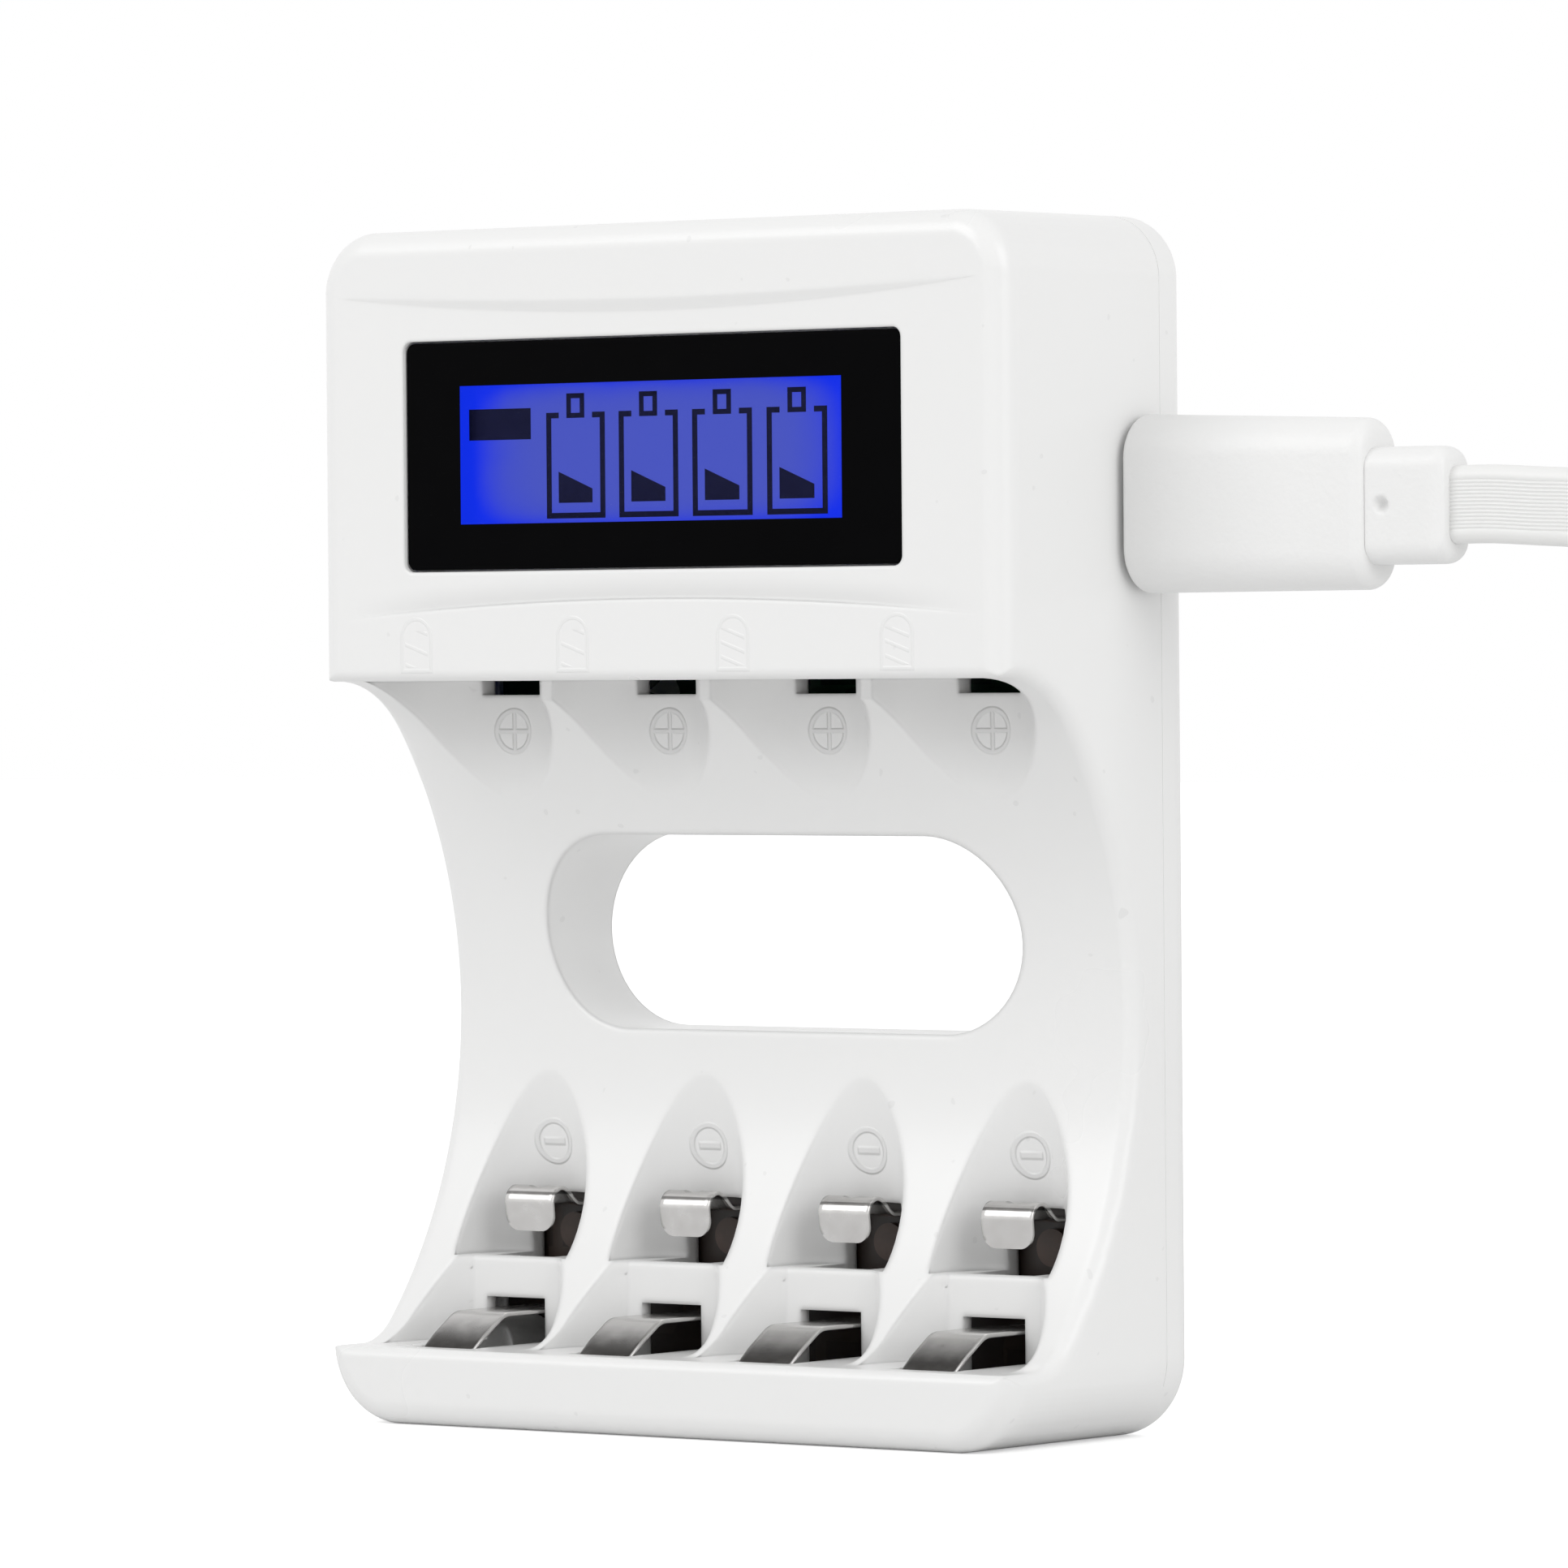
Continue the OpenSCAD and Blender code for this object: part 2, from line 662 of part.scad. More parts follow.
module controller_chip() {
    chip_w = 7;
    chip_t = 1.2;
    chip_x = 6;
    chip_z = window_plate_z - 7.5;
    color("dimgray") placed() translate([chip_x, board_y - chip_t, chip_z]) cube([chip_w, chip_t, chip_w]);
}

module choke() {
    choke_r = 3.2;
    choke_h = 3.6;
    choke_x = 20;
    choke_z = window_plate_z + 4.5;
    color("gray") placed() rod(choke_x, choke_z, choke_r, board_y - choke_h, board_y);
}

module capacitors() {
    can_r = 2.5;
    can_h = 6;
    can_x = -20;
    cans_z = [window_plate_z - 7.5, window_plate_z + 4.5];
    color("peru") placed() for (z = cans_z) rod(can_x, z, can_r, board_y - can_h, board_y);
}

// One sensor behind each slot, seen through the opening over the ledge
module heat_sensors() {
    bead_r = 1.5;
    bead_t = 0.8;
    bead_x = 0.6;
    bead_z = 14.8;
    color("saddlebrown") placed() for (s = SLOTS)
        rod(s * slot_pitch + bead_x, bead_z, bead_r, board_y - bead_t, board_y);
}

module side_socket() {
    mouth_x = side_x - plug_gap;
    color(nickel) placed() translate([mouth_x - socket_l / 2, 0, 0]) difference() {
        across(socket_l) port_form(0);
        translate([socket_wall, 0, 0]) across(socket_l) port_form(-socket_wall);
    }
}

module cover_screws() {
    color(nickel) placed() for (p = SCREWS) {
        rod(p.x, p.y, screw_r, pilot_y + 1, screw_head_y);
        rod(p.x, p.y, screw_head_r, screw_head_y, screw_head_y + screw_head_t);
    }
}

module display_screws() {
    color(nickel) placed() {
        display_rods(display_screw_r, display_screw_y, link_y);
        display_rods(display_head_r, link_y, link_y + display_head_t);
    }
}

// Bent strip of sheet whose middle follows a path in depth and height
module strip(path, w) {
    across(w) polygon(concat(beside(path, sheet / 2), flipped(beside(path, -sheet / 2))));
}

module plus_contact(s) {
    color(nickel) placed() translate([s * slot_pitch, 0, 0]) strip(PLUS_PATH, aa_leaf_w);
}

module aa_contact(s) {
    color(nickel) placed() translate([s * slot_pitch, 0, 0]) strip(AA_PATH, aa_leaf_w);
}

// The hook's tab has round lower corners and its arch a small dimple
module aaa_contact(s) {
    round_r = 1.3;
    color(nickel) placed() translate([s * slot_pitch, 0, 0]) {
        difference() {
            strip(HOOK_PATH, aaa_hook_w);
            for (m = [0, 1]) mirror([m, 0, 0]) translate([-aaa_hook_w / 2, 0, aaa_tab_z])
                through(0, aaa_arch_y) corner_waste(round_r);
        }
        translate([0, aaa_arch_y, hook_top_z - 0.5]) sphere(r = 0.9);
    }
}

module plug_slice(x, h, t, z) {
    translate([x, port_y, z]) rotate([90, 0, 90]) linear_extrude(0.1)
        rotate(90) stadium(h / 2, t / 2 - 0.01, $fn = 32);
}

module plug_body() {
    soft = 1;
    color(white) placed() hull() {
        plug_slice(plug_x, plug_h - soft / 2, plug_t - soft / 2, port_z);
        plug_slice(plug_x + soft / 2, plug_h, plug_t, port_z);
        plug_slice(relief_x - soft, plug_far_h, plug_far_t, port_z - 0.3);
        plug_slice(relief_x - 0.1, plug_far_h - 1.6 * soft, plug_far_t - 1.6 * soft, port_z - 0.3);
    }
}

module plug_shell() {
    color(nickel) placed() translate([0, port_y, port_z])
        translate([side_x - socket_l + 1, -shell_t / 2, -shell_h / 2])
        cube([plug_x - side_x + socket_l - 1, shell_t, shell_h]);
}

module relief_slice(x, h, t) {
    translate([x, port_y - t / 2, relief_z - h / 2]) cube([0.1, t, h]);
}

module strain_relief() {
    color(white) placed() hull() {
        relief_slice(relief_x, relief_h, relief_t);
        relief_slice(cable_x - 1.2, relief_h, relief_t);
        relief_slice(cable_x - 0.1, relief_h - 1.4, relief_t - 1.2);
    }
}

// Ring of the flat cable's section: eight corners round a point of the route
function ring(route, wide, i) = let (
    h = heading(route, i),
    w = unit(wide[i] - (wide[i] * h) * h),
    t = cross(h, w),
    grow = 1 / cos(180 / sides)
) [for (k = [0:sides - 1]) let (a = 360 / sides * (k + 0.5))
    route[i] + grow / 2 * (cable_w * cos(a) * w + cable_t * sin(a) * t)];

module swept(route, wide) {
    last = len(route) - 1;
    points = [for (i = [0:last]) each ring(route, wide, i)];
    faces = concat(
        [[for (k = [0:sides - 1]) k]],
        [for (i = [1:last], k = [0:sides - 1]) let (a = sides * i, j = (k + 1) % sides) [a - sides + k, a + k, a + j]],
        [for (i = [1:last], k = [0:sides - 1]) let (a = sides * i, j = (k + 1) % sides) [a - sides + k, a + j, a - sides + j]],
        [[for (k = [sides - 1:-1:0]) sides * last + k]]
    );
    polyhedron(points, faces);
}

module cable() {
    color(white) placed() swept(ROUTE, ROUTE_WIDE);
}

module cable_coil() {
    color(white) placed() translate([coil_x, coil_y, 0]) rotate_extrude()
        translate([coil_in_r - cable_t / 2, 0])
        square([coil_out_r - coil_in_r + cable_t, cable_w]);
}

module cable_tail() {
    color(white) placed() swept(TAIL, TAIL_WIDE);
}

module cable_tie() {
    tie_w = 4;
    tie_t = 0.8;
    span = coil_out_r - coil_in_r + cable_t + 2 * tie_gap;
    color("black") placed() translate([coil_x, coil_y, 0]) rotate(tie_turn)
        translate([-tie_w / 2, coil_in_r - cable_t / 2 - tie_gap, 0]) difference() {
            translate([0, -tie_t, 0]) cube([tie_w, span + 2 * tie_t, cable_w + tie_gap + tie_t]);
            translate([-over, 0, -over]) cube([tie_w + 2 * over, span, cable_w + tie_gap + over]);
        }
}

module far_plug(from, to, w, h) {
    placed() translate(TAIL[len(TAIL) - 1]) rotate(far_turn)
        translate([from, -w / 2, -h / 2]) cube([to - from, w, h]);
}

module far_plug_body() {
    color(white) far_plug(0, far_plug_l, far_plug_w, far_plug_h);
}

module far_plug_shell() {
    color(nickel) far_plug(far_plug_l, far_plug_l + far_shell_l, far_shell_w, far_shell_h);
}

front_housing();
rear_cover();
display_window();
display_glass();
light_guide();
contact_rubber();
display_board();
board_link();
main_board();
controller_chip();
choke();
capacitors();
heat_sensors();
side_socket();
cover_screws();
display_screws();
plus_contact(SLOTS[0]);  // plus_contact_1
plus_contact(SLOTS[1]);  // plus_contact_2
plus_contact(SLOTS[2]);  // plus_contact_3
plus_contact(SLOTS[3]);  // plus_contact_4
aa_contact(SLOTS[0]);  // aa_contact_1
aa_contact(SLOTS[1]);  // aa_contact_2
aa_contact(SLOTS[2]);  // aa_contact_3
aa_contact(SLOTS[3]);  // aa_contact_4
aaa_contact(SLOTS[0]);  // aaa_contact_1
aaa_contact(SLOTS[1]);  // aaa_contact_2
aaa_contact(SLOTS[2]);  // aaa_contact_3
aaa_contact(SLOTS[3]);  // aaa_contact_4
plug_body();
plug_shell();
strain_relief();
cable();
cable_coil();
cable_tail();
cable_tie();
far_plug_body();
far_plug_shell();
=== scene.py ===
"""The desk battery charger: looks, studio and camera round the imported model.

Metres, +Z up, front towards -Y.
"""
import json
import math

import bmesh
import bpy
from mathutils import Matrix, Vector, interpolate
from mathutils.bvhtree import BVHTree


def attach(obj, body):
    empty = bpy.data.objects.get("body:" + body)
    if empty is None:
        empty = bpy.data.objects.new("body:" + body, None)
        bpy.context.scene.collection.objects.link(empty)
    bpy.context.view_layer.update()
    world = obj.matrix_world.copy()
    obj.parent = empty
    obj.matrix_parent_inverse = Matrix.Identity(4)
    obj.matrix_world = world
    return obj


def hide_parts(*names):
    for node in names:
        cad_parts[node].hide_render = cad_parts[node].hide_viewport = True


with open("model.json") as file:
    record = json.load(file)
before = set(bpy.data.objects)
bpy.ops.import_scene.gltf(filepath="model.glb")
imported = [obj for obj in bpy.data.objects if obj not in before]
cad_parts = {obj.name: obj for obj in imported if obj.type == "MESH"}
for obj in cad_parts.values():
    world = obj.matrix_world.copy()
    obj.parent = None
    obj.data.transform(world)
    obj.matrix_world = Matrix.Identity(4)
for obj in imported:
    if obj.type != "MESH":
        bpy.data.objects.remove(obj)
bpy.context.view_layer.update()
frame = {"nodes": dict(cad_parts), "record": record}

BODY = "charger"
MM = 0.001

# Sizes in millimetres
FRONT = -12.25          # Y of the front face
PITCH = 16.0
SLOTS = [-1.5 * PITCH, -0.5 * PITCH, 0.5 * PITCH, 1.5 * PITCH]
BODY_W, BODY_D, BODY_H = 68.4, 24.5, 95.6
CORNER_TOP, CORNER_LOW, EDGE_R = 5.0, 6.4, 2.0
CLEAR = 0.01            # How far a cutting form stays outside the faces that it leaves alone
BAY_FLOOR, BAY_CEILING, BAY_DEPTH = 6.2, 59.6, 16.8
BAY_ARC, BAY_LOW, BAY_TOP, BAY_SIDE = 37.8, 5.6, 10.3, 1.3
FIELD_TOP, FIELD_SINK = 88.6, 0.4
BROW_HALF, BROW_R = 31.9, 285.0
SEAM_Y, SEAM = 20.5 + FRONT, 0.3
PLUS_Z, MINUS_Z, SIGN_Z = 55.46, 22.1, 62.15
VIEW_X, VIEW_Z, VIEW_HALF_W, VIEW_HALF_H = -0.6, 77.57, 19.05, 5.5
LOW_CURVE_Z, LOW_CURVE = 66.0, 0.00146
HIGH_CURVE_Z, HIGH_CURVE = 88.55, 0.00165


# Camera and studio

def aim(azimuth, elevation, roll):
    """Right, up and back of a camera that stands at this azimuth and elevation, in degrees."""
    a, e, r = (math.radians(x) for x in (azimuth, elevation, roll))
    back = Vector((math.sin(a) * math.cos(e), -math.cos(a) * math.cos(e), math.sin(e)))
    right = Vector((math.cos(a), math.sin(a), 0))
    up = back.cross(right)
    return right * math.cos(r) + up * math.sin(r), up * math.cos(r) - right * math.sin(r), back


def make_camera():
    data = bpy.data.cameras.new("camera")
    data.sensor_width = 36
    data.lens = 228.15
    data.clip_start = 0.05
    data.clip_end = 20
    camera = bpy.data.objects.new("camera", data)
    bpy.context.scene.collection.objects.link(camera)
    right, up, back = aim(37.57, 0.79, -0.47)
    axes = Matrix((right, up, back)).transposed()
    place = Vector((483.13, -611.23 + FRONT, 62.11)) * MM
    camera.matrix_world = Matrix.Translation(place) @ axes.to_4x4()
    bpy.context.scene.camera = camera


# Shader values

class Value:
    """An output socket. An expression on values adds its Math nodes."""

    def __init__(self, finish, socket):
        self.finish = finish
        self.socket = socket

    def math(self, operation, *values, clamp=False):
        return self.finish.node("Math", {"operation": operation, "use_clamp": clamp}, list(values))

    def __add__(self, other):
        return self.math("ADD", self, other)

    def __sub__(self, other):
        return self.math("SUBTRACT", self, other)

    def __rsub__(self, other):
        return self.math("SUBTRACT", other, self)

    def __mul__(self, other):
        return self.math("MULTIPLY", self, other)

    def __truediv__(self, other):
        return self.math("DIVIDE", self, other)

    def __pow__(self, other):
        return self.math("POWER", self, other)

    def __abs__(self):
        return self.math("ABSOLUTE", self)

    def __lt__(self, other):
        return self.math("LESS_THAN", self, other)

    def __gt__(self, other):
        return self.math("GREATER_THAN", self, other)

    __radd__ = __add__
    __rmul__ = __mul__

    def wrap(self, half):
        """The value folded into the range from -half to half."""
        return self.math("WRAP", self, half, -half)

    def most(self, other):
        return self.math("MAXIMUM", self, other)

    def rise(self, low, high):
        """0 below low, 1 above high, smooth between them."""
        return self.finish.node(
            "MapRange", {"interpolation_type": "SMOOTHSTEP", "clamp": True}, [self, low, high, 0.0, 1.0])


class Finish:
    """A material with its Principled shader, and the one method that adds its other nodes."""

    def __init__(self, name, **constants):
        self.material = bpy.data.materials.new(name)
        self.material.use_nodes = True
        self.tree = self.material.node_tree
        self.shader = self.tree.nodes["Principled BSDF"]
        for socket, value in constants.items():
            self.shader.inputs[socket.replace("_", " ")].default_value = value

    def node(self, kind, settings=None, values=(), output=0):
        made = self.tree.nodes.new("ShaderNode" + kind)
        for name, value in (settings or {}).items():
            if name == "stops":
                ramp = made.color_ramp.elements
                while len(ramp) < len(value):
                    ramp.new(1.0)
                for element, (place, colour) in zip(ramp, value):
                    element.position = place
                    element.color = colour
            else:
                setattr(made, name, value)
        pairs = values.items() if isinstance(values, dict) else enumerate(values)
        for key, value in pairs:
            if value is None:
                continue
            if isinstance(value, Value):
                self.tree.links.new(value.socket, made.inputs[key])
            else:
                made.inputs[key].default_value = value
        return Value(self, made.outputs[output])

    def place(self):
        return self.node("TexCoord", output="Object")

    def axes(self):
        """X, Y and Z in the row's frame, in metres."""
        split = self.node("SeparateXYZ", values=[self.place()]).socket.node
        return [Value(self, socket) for socket in split.outputs]

    def noise(self, size, detail=2.0, rough=0.5, stretch=None):
        """Noise from 0 to 1 with spots of about this size in metres."""
        where = self.place()
        if stretch:
            where = self.node("Mapping", {"vector_type": "POINT"}, {"Vector": where, "Scale": stretch})
        sockets = {"Vector": where, "Scale": 1 / size, "Detail": detail, "Roughness": rough}
        return self.node("TexNoise", values=sockets)

    def mix(self, share, low, high):
        """Colour between low and high."""
        return self.node("Mix", {"data_type": "RGBA"}, {0: share, 6: low, 7: high}, output=2)

    def feed(self, **links):
        for socket, value in links.items():
            self.tree.links.new(value.socket, self.shader.inputs[socket.replace("_", " ")])
        return self

    def bump(self, height, depth, strength=1.0):
        sockets = {"Strength": strength, "Distance": depth, "Height": height}
        return self.feed(Normal=self.node("Bump", values=sockets))


def grey(level, warm=0.0):
    return (level + warm, level, level - warm, 1.0)


def moulded(name, colour, rough, grain=0.0):
    """Moulded plastic: faint flow marks in colour and gloss, and a fine grain."""
    f = Finish(name, Roughness=rough)
    flow = f.noise(0.022, 3.0)
    dark = tuple(c * 0.985 for c in colour[:3]) + (1.0,)
    light = tuple(min(c * 1.01, 1.0) for c in colour[:3]) + (1.0,)
    f.feed(Base_Color=f.mix(flow, dark, light), Roughness=flow * 0.08 + (rough - 0.04))
    f.bump(f.noise(0.0006, 2.0) * (0.4 + grain) + f.noise(0.009, 1.0) * 0.6, 0.00002 + 0.00003 * grain, 0.5)
    return f.material


def line_of(distance, half):
    """1 within half of a line, soft at its edges."""
    return 1 - abs(distance).rise(half * 0.45, half * 1.3)


def moulded_marks(f):
    """Raised lines: plus and minus in rings on the grooves, and battery signs over the bay."""
    x, y, z = (axis * 1000 for axis in f.axes())
    u = (x - PITCH / 2).wrap(PITCH / 2)
    v = u + 0.18
    plus_w, minus_w, cell_w = z - PLUS_Z, z - MINUS_Z, z - SIGN_Z
    plus = line_of((v * v + plus_w * plus_w) ** 0.5 - 1.66, 0.22)
    for long, wide in ((v, plus_w), (plus_w, v)):
        plus = plus.most(line_of(wide, 0.2) * (abs(long) < 1.6))
    minus = line_of((v * v + minus_w * minus_w) ** 0.5 - 1.66, 0.24)
    minus = minus.most(line_of(minus_w, 0.32) * (1 - abs(v).rise(0.95, 1.15)))
    dome = (cell_w - 0.9).most(0.0)
    cell = line_of(((u * u + dome * dome) ** 0.5).most(cell_w * -0.857) - 1.5, 0.14)
    pitch = 1.6 - (x > 0) * 0.45
    strokes = line_of((cell_w + u * 0.35).math("WRAP", cell_w + u * 0.35, pitch * 0.5, pitch * -0.5), 0.15)
    strokes = strokes * (abs(u) < 1.15) * (abs(cell_w) < 1.45)
    signs = cell.most(strokes) * (y < -11.6) * 0.32
    return (plus.most(minus) * (y < 6.6)).most(signs)


def field_shade(f):
    """Soft shade along the two curved lines over and under the display field."""
    x, y, z = (axis * 1000 for axis in f.axes())
    low = z - LOW_CURVE_Z + x * x * LOW_CURVE
    band = low.rise(-0.1, 0.1) * (1 - low.rise(0.2, 2.2))
    high = z - HIGH_CURVE_Z - x * x * HIGH_CURVE
    over = high.rise(-0.1, 0.15) * (1 - high.rise(0.5, 1.2)) * 0.5
    return (band * 1.1).most(over * 0.4) * (1 - abs(x).rise(20.0, 33.0)) * (y < -10.9)


def soft_edged(name, colour, rough):
    """Moulded plastic with marks, whose sharp edges catch the light as small roundings; the marks and the
    curved lines round the display field get painted shade.
    """
    f = Finish(name, Roughness=rough)
    flow = f.noise(0.022, 3.0)
    specks = f.noise(0.0011, 0.0).rise(0.83, 0.86)
    dark = tuple(c * 0.99 for c in colour[:3]) + (1.0,)
    dust = tuple(c * 0.93 for c in colour[:3]) + (1.0,)
    line = tuple(c * 0.88 for c in colour[:3]) + (1.0,)
    shade = tuple(c * 0.90 for c in colour[:3]) + (1.0,)
    marks = moulded_marks(f)
    plain = f.mix(specks, f.mix(flow, dark, colour), dust)
    plain = f.mix(field_shade(f), plain, shade)
    # Painted shade: the raised marks are darkened in colour as well as bumped.
    f.feed(Base_Color=f.mix(marks * 0.7, plain, line), Roughness=flow * 0.04 + (rough - 0.02))
    _, y, z = f.axes()
    in_bay = z.rise(0.0075, 0.009) * (1 - z.rise(0.0575, 0.0585)) * (1 - y.rise(0.009, 0.0095))
    off_seam = abs(y - (SEAM_Y + SEAM / 2) * MM).rise(0.0005, 0.0009)
    rounded = f.node("Bevel", {"samples": 8}, {"Radius": (in_bay * 0.0004 + 0.0005) * off_seam})
    waves = f.noise(0.012, 1.0) * 0.7 + f.noise(0.0005, 1.0) * 0.3
    grain = {"Strength": 0.3, "Distance": 0.00003, "Height": waves, "Normal": rounded}
    raised = {"Strength": 0.8, "Distance": 0.00012, "Height": marks, "Normal": f.node("Bump", values=grain)}
    f.feed(Normal=f.node("Bump", values=raised))
    return f.material


def metal(name, level, rough, scratches=0.25):
    """Nickel plate with fine rolling lines along its width and cloudy wear."""
    f = Finish(name, Metallic=1.0)
    lines = f.noise(0.0002, 3.0, stretch=(1.0, 14.0, 14.0))
    clouds = f.noise(0.0018, 3.0)
    f.feed(
        Base_Color=f.mix(clouds, grey(level * 0.86, 0.006), grey(level * 1.06, 0.004)),
        Roughness=clouds * 0.12 + lines * 0.08 + (rough - 0.08))
    f.bump(lines, 0.000004, scratches)
    return f.material


def contact_finish():
    """Bright nickel with painted dark reflections: it darkens down the leaves, less at their rims, and has a
    painted dark line under the hooks' bend.
    """
    f = Finish("contact_plate", Metallic=1.0)
    lines = f.noise(0.0002, 3.0, stretch=(1.0, 14.0, 14.0))
    clouds = f.noise(0.0016, 3.0)
    x, _, z = (axis * 1000 for axis in f.axes())
    leaf = z < 12
    rim = abs((x - PITCH / 2).wrap(PITCH / 2)).rise(2.46, 2.56)
    # Painted dark reflection: the leaves darken towards their tips, but hardly along their rims.
    painted_dark_reflection = (8.7 - z + clouds * 1.2).rise(0.2, 2.9) * leaf * (1 - rim * 0.85)
    # Painted dark reflection: a thin dark line under the hooks' bend.
    line = line_of(z - 18.05, 0.14) * (1 - leaf)
    bright = f.mix(clouds, grey(0.50, 0.012), grey(0.66, 0.008))
    dark = f.mix(clouds, grey(0.02, 0.002), grey(0.09, 0.003))
    f.feed(
        Base_Color=f.mix(painted_dark_reflection.most(line * 0.75), bright, dark),
        Roughness=clouds * 0.14 + lines * 0.08 + 0.14)
    f.bump(lines, 0.000004, 0.25)
    return f.material


def window_finish():
    """Clear plate with a black border printed on it."""
    f = Finish("window_print", Roughness=0.12, IOR=1.49, Specular_IOR_Level=0.02)
    x, y, z = f.axes()
    inside = (abs(x - VIEW_X * MM) < VIEW_HALF_W * MM) * (abs(z - VIEW_Z * MM) < VIEW_HALF_H * MM)
    inside = inside.most(y > (FRONT + 0.9) * MM)
    cloud = f.noise(0.004, 3.0)
    f.feed(
        Base_Color=f.mix(cloud, (0.0012, 0.0012, 0.0014, 1.0), (0.002, 0.002, 0.0023, 1.0)),
        Alpha=1 - inside * 0.97,
        Roughness=cloud * 0.1 + 0.08)
    return f.material


def display_finish():
    """Lit liquid crystal: strong blue from the lamp along its edges, paler in the middle."""
    f = Finish("display_light", Roughness=0.35, Specular_IOR_Level=0.05, Emission_Strength=1.0)
    x, _, z = f.axes()
    across = abs(x - VIEW_X * MM) / (VIEW_HALF_W * MM)
    up = abs(z - VIEW_Z * MM) / (VIEW_HALF_H * MM)
    edge = (across ** 6 + up ** 5 * 0.55 + f.noise(0.006, 2.0) * 0.25 - 0.1).rise(0.0, 1.0)
    pale = (0.062, 0.086, 0.50, 1.0)
    deep = (0.006, 0.03, 0.82, 1.0)
    f.feed(Base_Color=f.mix(edge, (0.008, 0.01, 0.05, 1.0), (0.0, 0.0, 0.05, 1.0)),
           Emission_Color=f.mix(edge, pale, deep))
    return f.material


def board_finish():
    """Green solder resist with tracks, pads and white marks."""
    f = Finish("board_resist", Roughness=0.35)
    x, _, z = f.axes()
    tracks = ((x * 1400).math("SINE", x * 1400) > 0.75).most((z * 1100).math("SINE", z * 1100) > 0.85)
    patches = f.noise(0.006, 0.0) > 0.52
    marks = f.noise(0.0025, 0.0) > 0.68
    low = 1 - z.rise(0.0215, 0.0235)
    green = f.mix(tracks * patches, (0.008, 0.045, 0.018, 1.0), (0.02, 0.10, 0.04, 1.0))
    brown = f.mix(tracks * patches, (0.022, 0.014, 0.011, 1.0), (0.04, 0.026, 0.02, 1.0))
    printed = f.mix(marks, green, (0.45, 0.48, 0.42, 1.0))
    f.feed(Base_Color=f.mix(low, printed, brown))
    f.bump(tracks * patches, 0.00003, 0.4)
    return f.material


def coloured(name, low, high, rough, size, metallic=0.0, depth=0.00002, gloss=0.5):
    """Plain finish with mottled colour and a light bump."""
    f = Finish(name, Metallic=metallic, Specular_IOR_Level=gloss)
    spots = f.noise(size, 3.0)
    f.feed(Base_Color=f.mix(spots, low, high), Roughness=spots * 0.1 + (rough - 0.05))
    f.bump(spots, depth, 0.4)
    return f.material


WHITE = (0.80, 0.80, 0.795, 1.0)
FINISHES = {
    "housing_white": soft_edged("housing_gloss", WHITE, 0.28),
    "window_black": window_finish(),
    "display_blue": display_finish(),
    "guide_clear": coloured(
        "guide_frost", (0.7, 0.75, 0.9, 1.0), (0.8, 0.85, 0.95, 1.0), 0.5, 0.003),
    "rubber_pink": coloured(
        "rubber_stripes", (0.6, 0.32, 0.32, 1.0), (0.75, 0.5, 0.48, 1.0), 0.7, 0.0008),
    "board_green": board_finish(),
    "plastic_dark": coloured(
        "chip_black", (0.012, 0.012, 0.013, 1.0), (0.03, 0.03, 0.032, 1.0), 0.55, 0.0007),
    "choke_grey": coloured(
        "choke_ferrite", (0.05, 0.05, 0.055, 1.0), (0.11, 0.11, 0.115, 1.0), 0.6, 0.001),
    "can_metal": coloured(
        "can_sleeve", (0.5, 0.5, 0.52, 1.0), (0.62, 0.62, 0.64, 1.0), 0.35, 0.002, metallic=1.0),
    "sensor_brown": coloured(
        "sensor_bead", (0.04, 0.024, 0.018, 1.0), (0.075, 0.045, 0.035, 1.0), 0.4, 0.0012),
    "steel_plated": metal("steel_plate", 0.6, 0.28),
    "contact_nickel": contact_finish(),
    "plug_white": moulded("plug_satin", WHITE, 0.42, 1.0),
    "cable_white": moulded("cable_satin", (0.79, 0.79, 0.78, 1.0), 0.46, 0.6),
    "segment_dark": coloured(
        "segment_ink", (0.006, 0.007, 0.03, 1.0), (0.010, 0.011, 0.042, 1.0), 0.5, 0.003,
        depth=0.0, gloss=0.04),
    "tie_black": coloured(
        "tie_nylon", (0.012, 0.012, 0.013, 1.0), (0.03, 0.03, 0.032, 1.0), 0.5, 0.0006),
}
SLOT_OF = {row["node"]: row["material_slot"] for row in frame["record"]["subparts"]}
for node, piece in frame["nodes"].items():
    for place in range(max(1, len(piece.material_slots))):
        if not piece.material_slots:
            piece.data.materials.append(FINISHES[SLOT_OF[node]])
        piece.material_slots[place].material = FINISHES[SLOT_OF[node]]


# Making pieces

def add_piece(name, points, faces, slot, body=BODY, smooth=True, nodes=(), sharp=40):
    """A piece from points in millimetres, in the row's frame."""
    mesh = bpy.data.meshes.new(name)
    mesh.from_pydata([Vector(p) * MM for p in points], [], faces)
    work = bmesh.new()
    work.from_mesh(mesh)
    bmesh.ops.recalc_face_normals(work, faces=work.faces)
    for face in work.faces:
        face.smooth = smooth
    limit = math.radians(sharp)
    for edge in work.edges:
        if len(edge.link_faces) == 2 and edge.calc_face_angle(0.0) > limit:
            edge.smooth = False
    work.to_mesh(mesh)
    work.free()
    piece = bpy.data.objects.new(name, mesh)
    bpy.context.scene.collection.objects.link(piece)
    mesh.materials.append(FINISHES[slot])
    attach(piece, body)
    if nodes:
        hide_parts(*nodes)
    return piece


